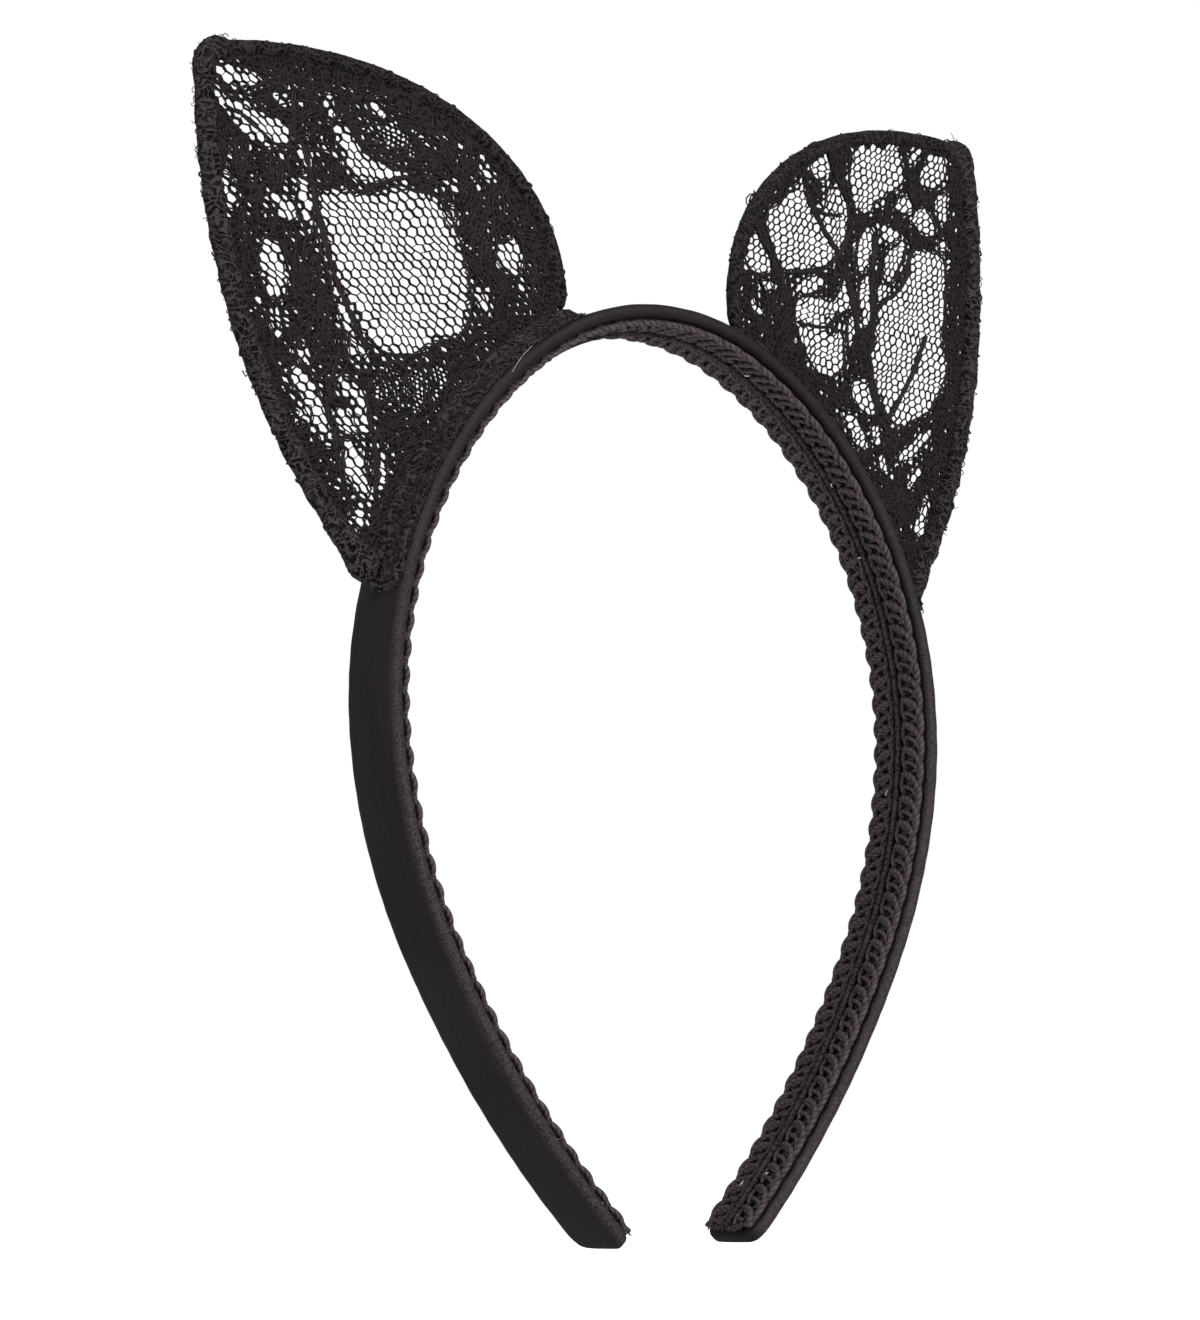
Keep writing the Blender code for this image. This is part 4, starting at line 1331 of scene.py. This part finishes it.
def roll_wraps(build, rng, side, roll, course):
    """Threads that slant round the roll."""
    for i in range(4, len(course) - 4, roll.wrap_every):
        along, inward = heading(course, i)
        start = rng.uniform(0, 2 * math.pi)
        lean = rng.uniform(-2.6, 2.6)
        bend = rng.uniform(0.05, 0.42)
        path = []
        for k in range(7):
            radius = roll.radius * roll.wrap * (1 + 0.06 * math.sin(k))
            p = course[i] + along * lean * k / 6
            path.append(roll_point(side, p, inward, radius, start + k * bend, 0.95))
        build.tube(path, rng.uniform(0.10, 0.19) * MM, sides=4, slot=1)


def roll_loops(build, rng, side, roll, course):
    """Small loops of thread that stand out along the roll's outer side."""
    count = len(course)
    for _ in range(roll.loops):
        i = rng.randrange(2, count - 2)
        if roll.frayed and rng.random() < 0.25:
            i = rng.choice((rng.randrange(2, 14), rng.randrange(count - 22, count - 2)))
        along, inward = heading(course, i)
        angle = math.pi + rng.gauss(0, 0.9)
        reach = rng.uniform(*roll.reach)
        spread = rng.uniform(0.2, 0.55)
        path = []
        for k in range(6):
            t = k / 5
            radius = roll.radius + reach * math.sin(math.pi * t) - 0.05
            p = course[i] + along * (spread * (t - 0.5) * 2)
            path.append(roll_point(side, p, inward, radius, angle, 0.9))
        build.tube(path, rng.uniform(0.06, 0.11) * MM, sides=3, slot=1)


def roll_fray(build, rng, side, roll, course):
    """Loose thread ends, more of them at the ear's tip and lower corner."""
    count = len(course)
    spots = [rng.randrange(2, 16) for _ in range(5)]
    spots += [rng.randrange(count - 20, count - 3) for _ in range(5)]
    spots += [rng.randrange(10, count - 10) for _ in range(7)]
    radii = [radius * MM for radius in (0.10, 0.09, 0.08, 0.07, 0.06, 0.03)]
    for i in spots:
        along, inward = heading(course, i)
        angle = math.pi + rng.gauss(0, 0.6)
        reach = rng.uniform(0.4, 1.5)
        swing = rng.uniform(-1.3, 1.3)
        path = []
        for k in range(6):
            t = k / 5
            p = course[i] + along * swing * t * t
            path.append(roll_point(side, p, inward, roll.radius * 0.9 + reach * t, angle, 0.8))
        build.tube(path, radii, sides=3, slot=1)


def make_binding(side, label, roll, rng, seed):
    """One side's binding over the ear's wire, with the threads that show on it."""
    course = ear_course(roll.start, roll.stop)
    if roll.frayed:
        along = (course[-1] - course[-2]).normalized()
        course += [course[-1] + along * ROLL_STEP * i for i in range(1, 5)]
    build = Builder()
    roll_skin(build, side, roll, course, seed)
    roll_wraps(build, rng, side, roll, course)
    roll_loops(build, rng, side, roll, course)
    if roll.frayed:
        roll_fray(build, rng, side, roll, course)
    obj = build.make(f"ear_{roll.name}_{label}", [roll.material, FUZZ])
    return obj


# ---------------------------------------------------------------- ear base
BASE_FROM, BASE_TO = ROOT_FROM - 0.4 * MM, ROOT_TO + 0.8 * MM


def base_mound(s, y):
    """Rise of the base in mm where the feet of the ear's wire lie under it."""
    point = at_depth(s, 0.0, -ROOT_HEIGHT)
    foot = EAR_Y + EAR_TURN * point.x + EAR_LEAN * point.z
    return 1.5 * math.exp(-((y - foot) / (1.15 * MM)) ** 2)


def base_skin(build, side, seed):
    """Lace over the band from near its front edge to behind the ear."""
    count, across = 96, 14
    rings, us = [], []
    for i in range(count + 1):
        s = BASE_FROM + (BASE_TO - BASE_FROM) * i / count
        ends = min(1.0, min(i, count - i) / 3.0)
        front = -6.35 * MM + 0.30 * MM * wave(seed, i * 0.45) + (1 - ends) * 0.8 * MM
        back = 2.7 * MM + 0.45 * MM * wave(seed + 1, i * 0.5) - (1 - ends) * 0.8 * MM
        ys = [front + (back - front) * k / across for k in range(across + 1)]
        ring = []
        for k, y in enumerate(ys):
            edge = math.sqrt(max(0.0, 1 - (2 * k / across - 1) ** 6))
            rough = 0.32 * noise.noise(Vector((s * 900, y * 900, seed)))
            high = (0.18 + edge * (0.62 + base_mound(s, y) + rough)) * ends**0.3 + 0.1
            ring.append(at_depth(side * s, y, -high * MM))
        ring += [at_depth(side * s, y, -0.05 * MM) for y in reversed(ys)]
        rings.append(ring if side > 0 else ring[::-1])
        us.append(s)
    build.rings(rings, us, [0.001 * k for k in range(2 * across + 3)])


def base_thread(build, rng, side):
    """A short curved thread over the base."""
    s = rng.uniform(BASE_FROM + 2 * MM, BASE_TO - 2 * MM)
    y = rng.uniform(-6.0, 2.0) * MM
    angle = rng.uniform(0, 2 * math.pi)
    size = rng.uniform(0.9, 2.2) * MM
    path = []
    for k in range(7):
        t = k / 6
        a = angle + 1.4 * (t - 0.5)
        on = s + size * (t - 0.5) * math.cos(a)
        across = min(2.3 * MM, max(-6.4 * MM, y + size * (t - 0.5) * math.sin(a)))
        high = 0.86 + base_mound(on, across) + 0.1 * math.sin(5 * t)
        path.append(at_depth(side * on, across, -high * MM))
    build.tube(path, rng.uniform(0.10, 0.17) * MM, sides=4, slot=1)


def base_loop(build, rng, side):
    """A small loop at the base's front edge."""
    s = rng.uniform(BASE_FROM + 1 * MM, BASE_TO - 1 * MM)
    reach = rng.uniform(0.15, 0.45) * MM
    wide = rng.uniform(0.3, 0.7) * MM
    path = []
    for k in range(6):
        t = k / 5
        y = -6.2 * MM - reach * math.sin(math.pi * t)
        path.append(at_depth(side * (s + wide * (t - 0.5) * 2), y, -0.35 * MM))
    build.tube(path, rng.uniform(0.07, 0.11) * MM, sides=3, slot=1)


def make_base(side, label, seed):
    """The lace that lies on the band's outer face under the ear, and its gathered corners."""
    rng = random.Random(seed)
    build = Builder()
    base_skin(build, side, seed)
    for _ in range(210):
        base_thread(build, rng, side)
    for _ in range(120):
        base_loop(build, rng, side)
    obj = build.make(f"ear_base_{label}", [BINDING, LACE_CORD])
    return obj


# ---------------------------------------------------------------- stray fibres
# Specks in the braid of each body, as (s, y) in mm.
SPECKS = {
    "crown": ((62.0, 0.4), (48.0, -1.2), (22.0, -2.4)),
    "right_arm": ((104.0, 1.8), (128.0, -0.4), (176.0, -3.0), (178.0, 2.2)),
}


def make_glue_thread():
    """The stray thread of glue on the ribbon by the left ear."""
    path = []
    for i in range(24):
        t = i / 23
        s = -(24.0 + 9.5 * t) * MM
        y = (-3.0 - 4.35 * math.sin(math.pi * min(1.0, t * 1.35) * 0.62)) * MM
        depth = -0.35 + 0.9 * max(0.0, t - 0.62) / 0.38
        path.append(at_depth(s, max(y, -7.32 * MM), depth * MM))
    build = Builder()
    build.tube(path, 0.035 * MM, sides=5)
    obj = build.make("glue_thread", [GLUE])
    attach(obj, "crown")


def speck(build, rng, s, y):
    """One short pale fibre caught in the braid."""
    angle = rng.uniform(0, math.pi)
    size = rng.uniform(0.5, 1.1)
    path = []
    for k in range(5):
        t = k / 4 - 0.5
        on = (s + size * t * math.cos(angle)) * MM
        across = (y + size * t * math.sin(angle) + 0.15 * t * t) * MM
        path.append(at_depth(on, across, 3.75 * MM + 0.12 * MM * math.cos(3 * t)))
    build.tube(path, 0.07 * MM, sides=4)


def make_specks():
    rng = random.Random(12)
    for body, spots in SPECKS.items():
        build = Builder()
        for s, y in spots:
            for _ in range(2):
                speck(build, rng, s, y)
        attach(build.make(f"fibre_specks_{body}", [PALE_FIBRE]), body)


# ---------------------------------------------------------------- assembly
def add_band(side, label):
    """Half of the ribbon and half of the braid; the left halves also stand for the crown's."""
    satin = make_satin(side, label)
    gimp = make_gimp(side, label)
    for body in ("crown", "left_arm") if side < 0 else ("right_arm",):
        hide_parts(f"{body}_cover")
        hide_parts(f"{body}_gimp")


def add_ear(side, label, pattern, seed):
    """One ear just over the band: its lace, raised threads, covered wire, rolled edge and base, in one
    fixed pose.
    """
    lace, threads = make_lace(side, label, *pattern, seed)
    rng = random.Random(seed)
    rim = make_binding(side, label, RIM_ROLL, rng, seed)
    edge = make_binding(side, label, EDGE_ROLL, rng, seed)
    base = make_base(side, label, seed)
    for piece in (lace, threads, rim, edge):
        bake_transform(piece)
    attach(base, "crown")
    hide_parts(f"{label}_ear_panel")
    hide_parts(f"{label}_ear_binding_inner")
    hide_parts(f"{label}_ear_binding_outer")
    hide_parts(f"{label}_ear_root")


add_band(-1.0, "left")
add_band(1.0, "right")
add_ear(-1.0, "left", (LEFT_WINDOWS, LEFT_GRIDS, LEFT_LINES, LEFT_NET), 3)
add_ear(1.0, "right", (RIGHT_WINDOWS, RIGHT_GRIDS, RIGHT_LINES, RIGHT_NET), 8)
make_glue_thread()
make_specks()

FINISH = {"hoop_core": HOOP_PLASTIC, "ear_wire": EAR_WIRE, "glue": GLUE}
for part in frame["record"]["subparts"]:
    if part["material_slot"] in FINISH:
        node = frame["nodes"][part["node"]]
        node.data.materials.clear()
        node.data.materials.append(FINISH[part["material_slot"]])
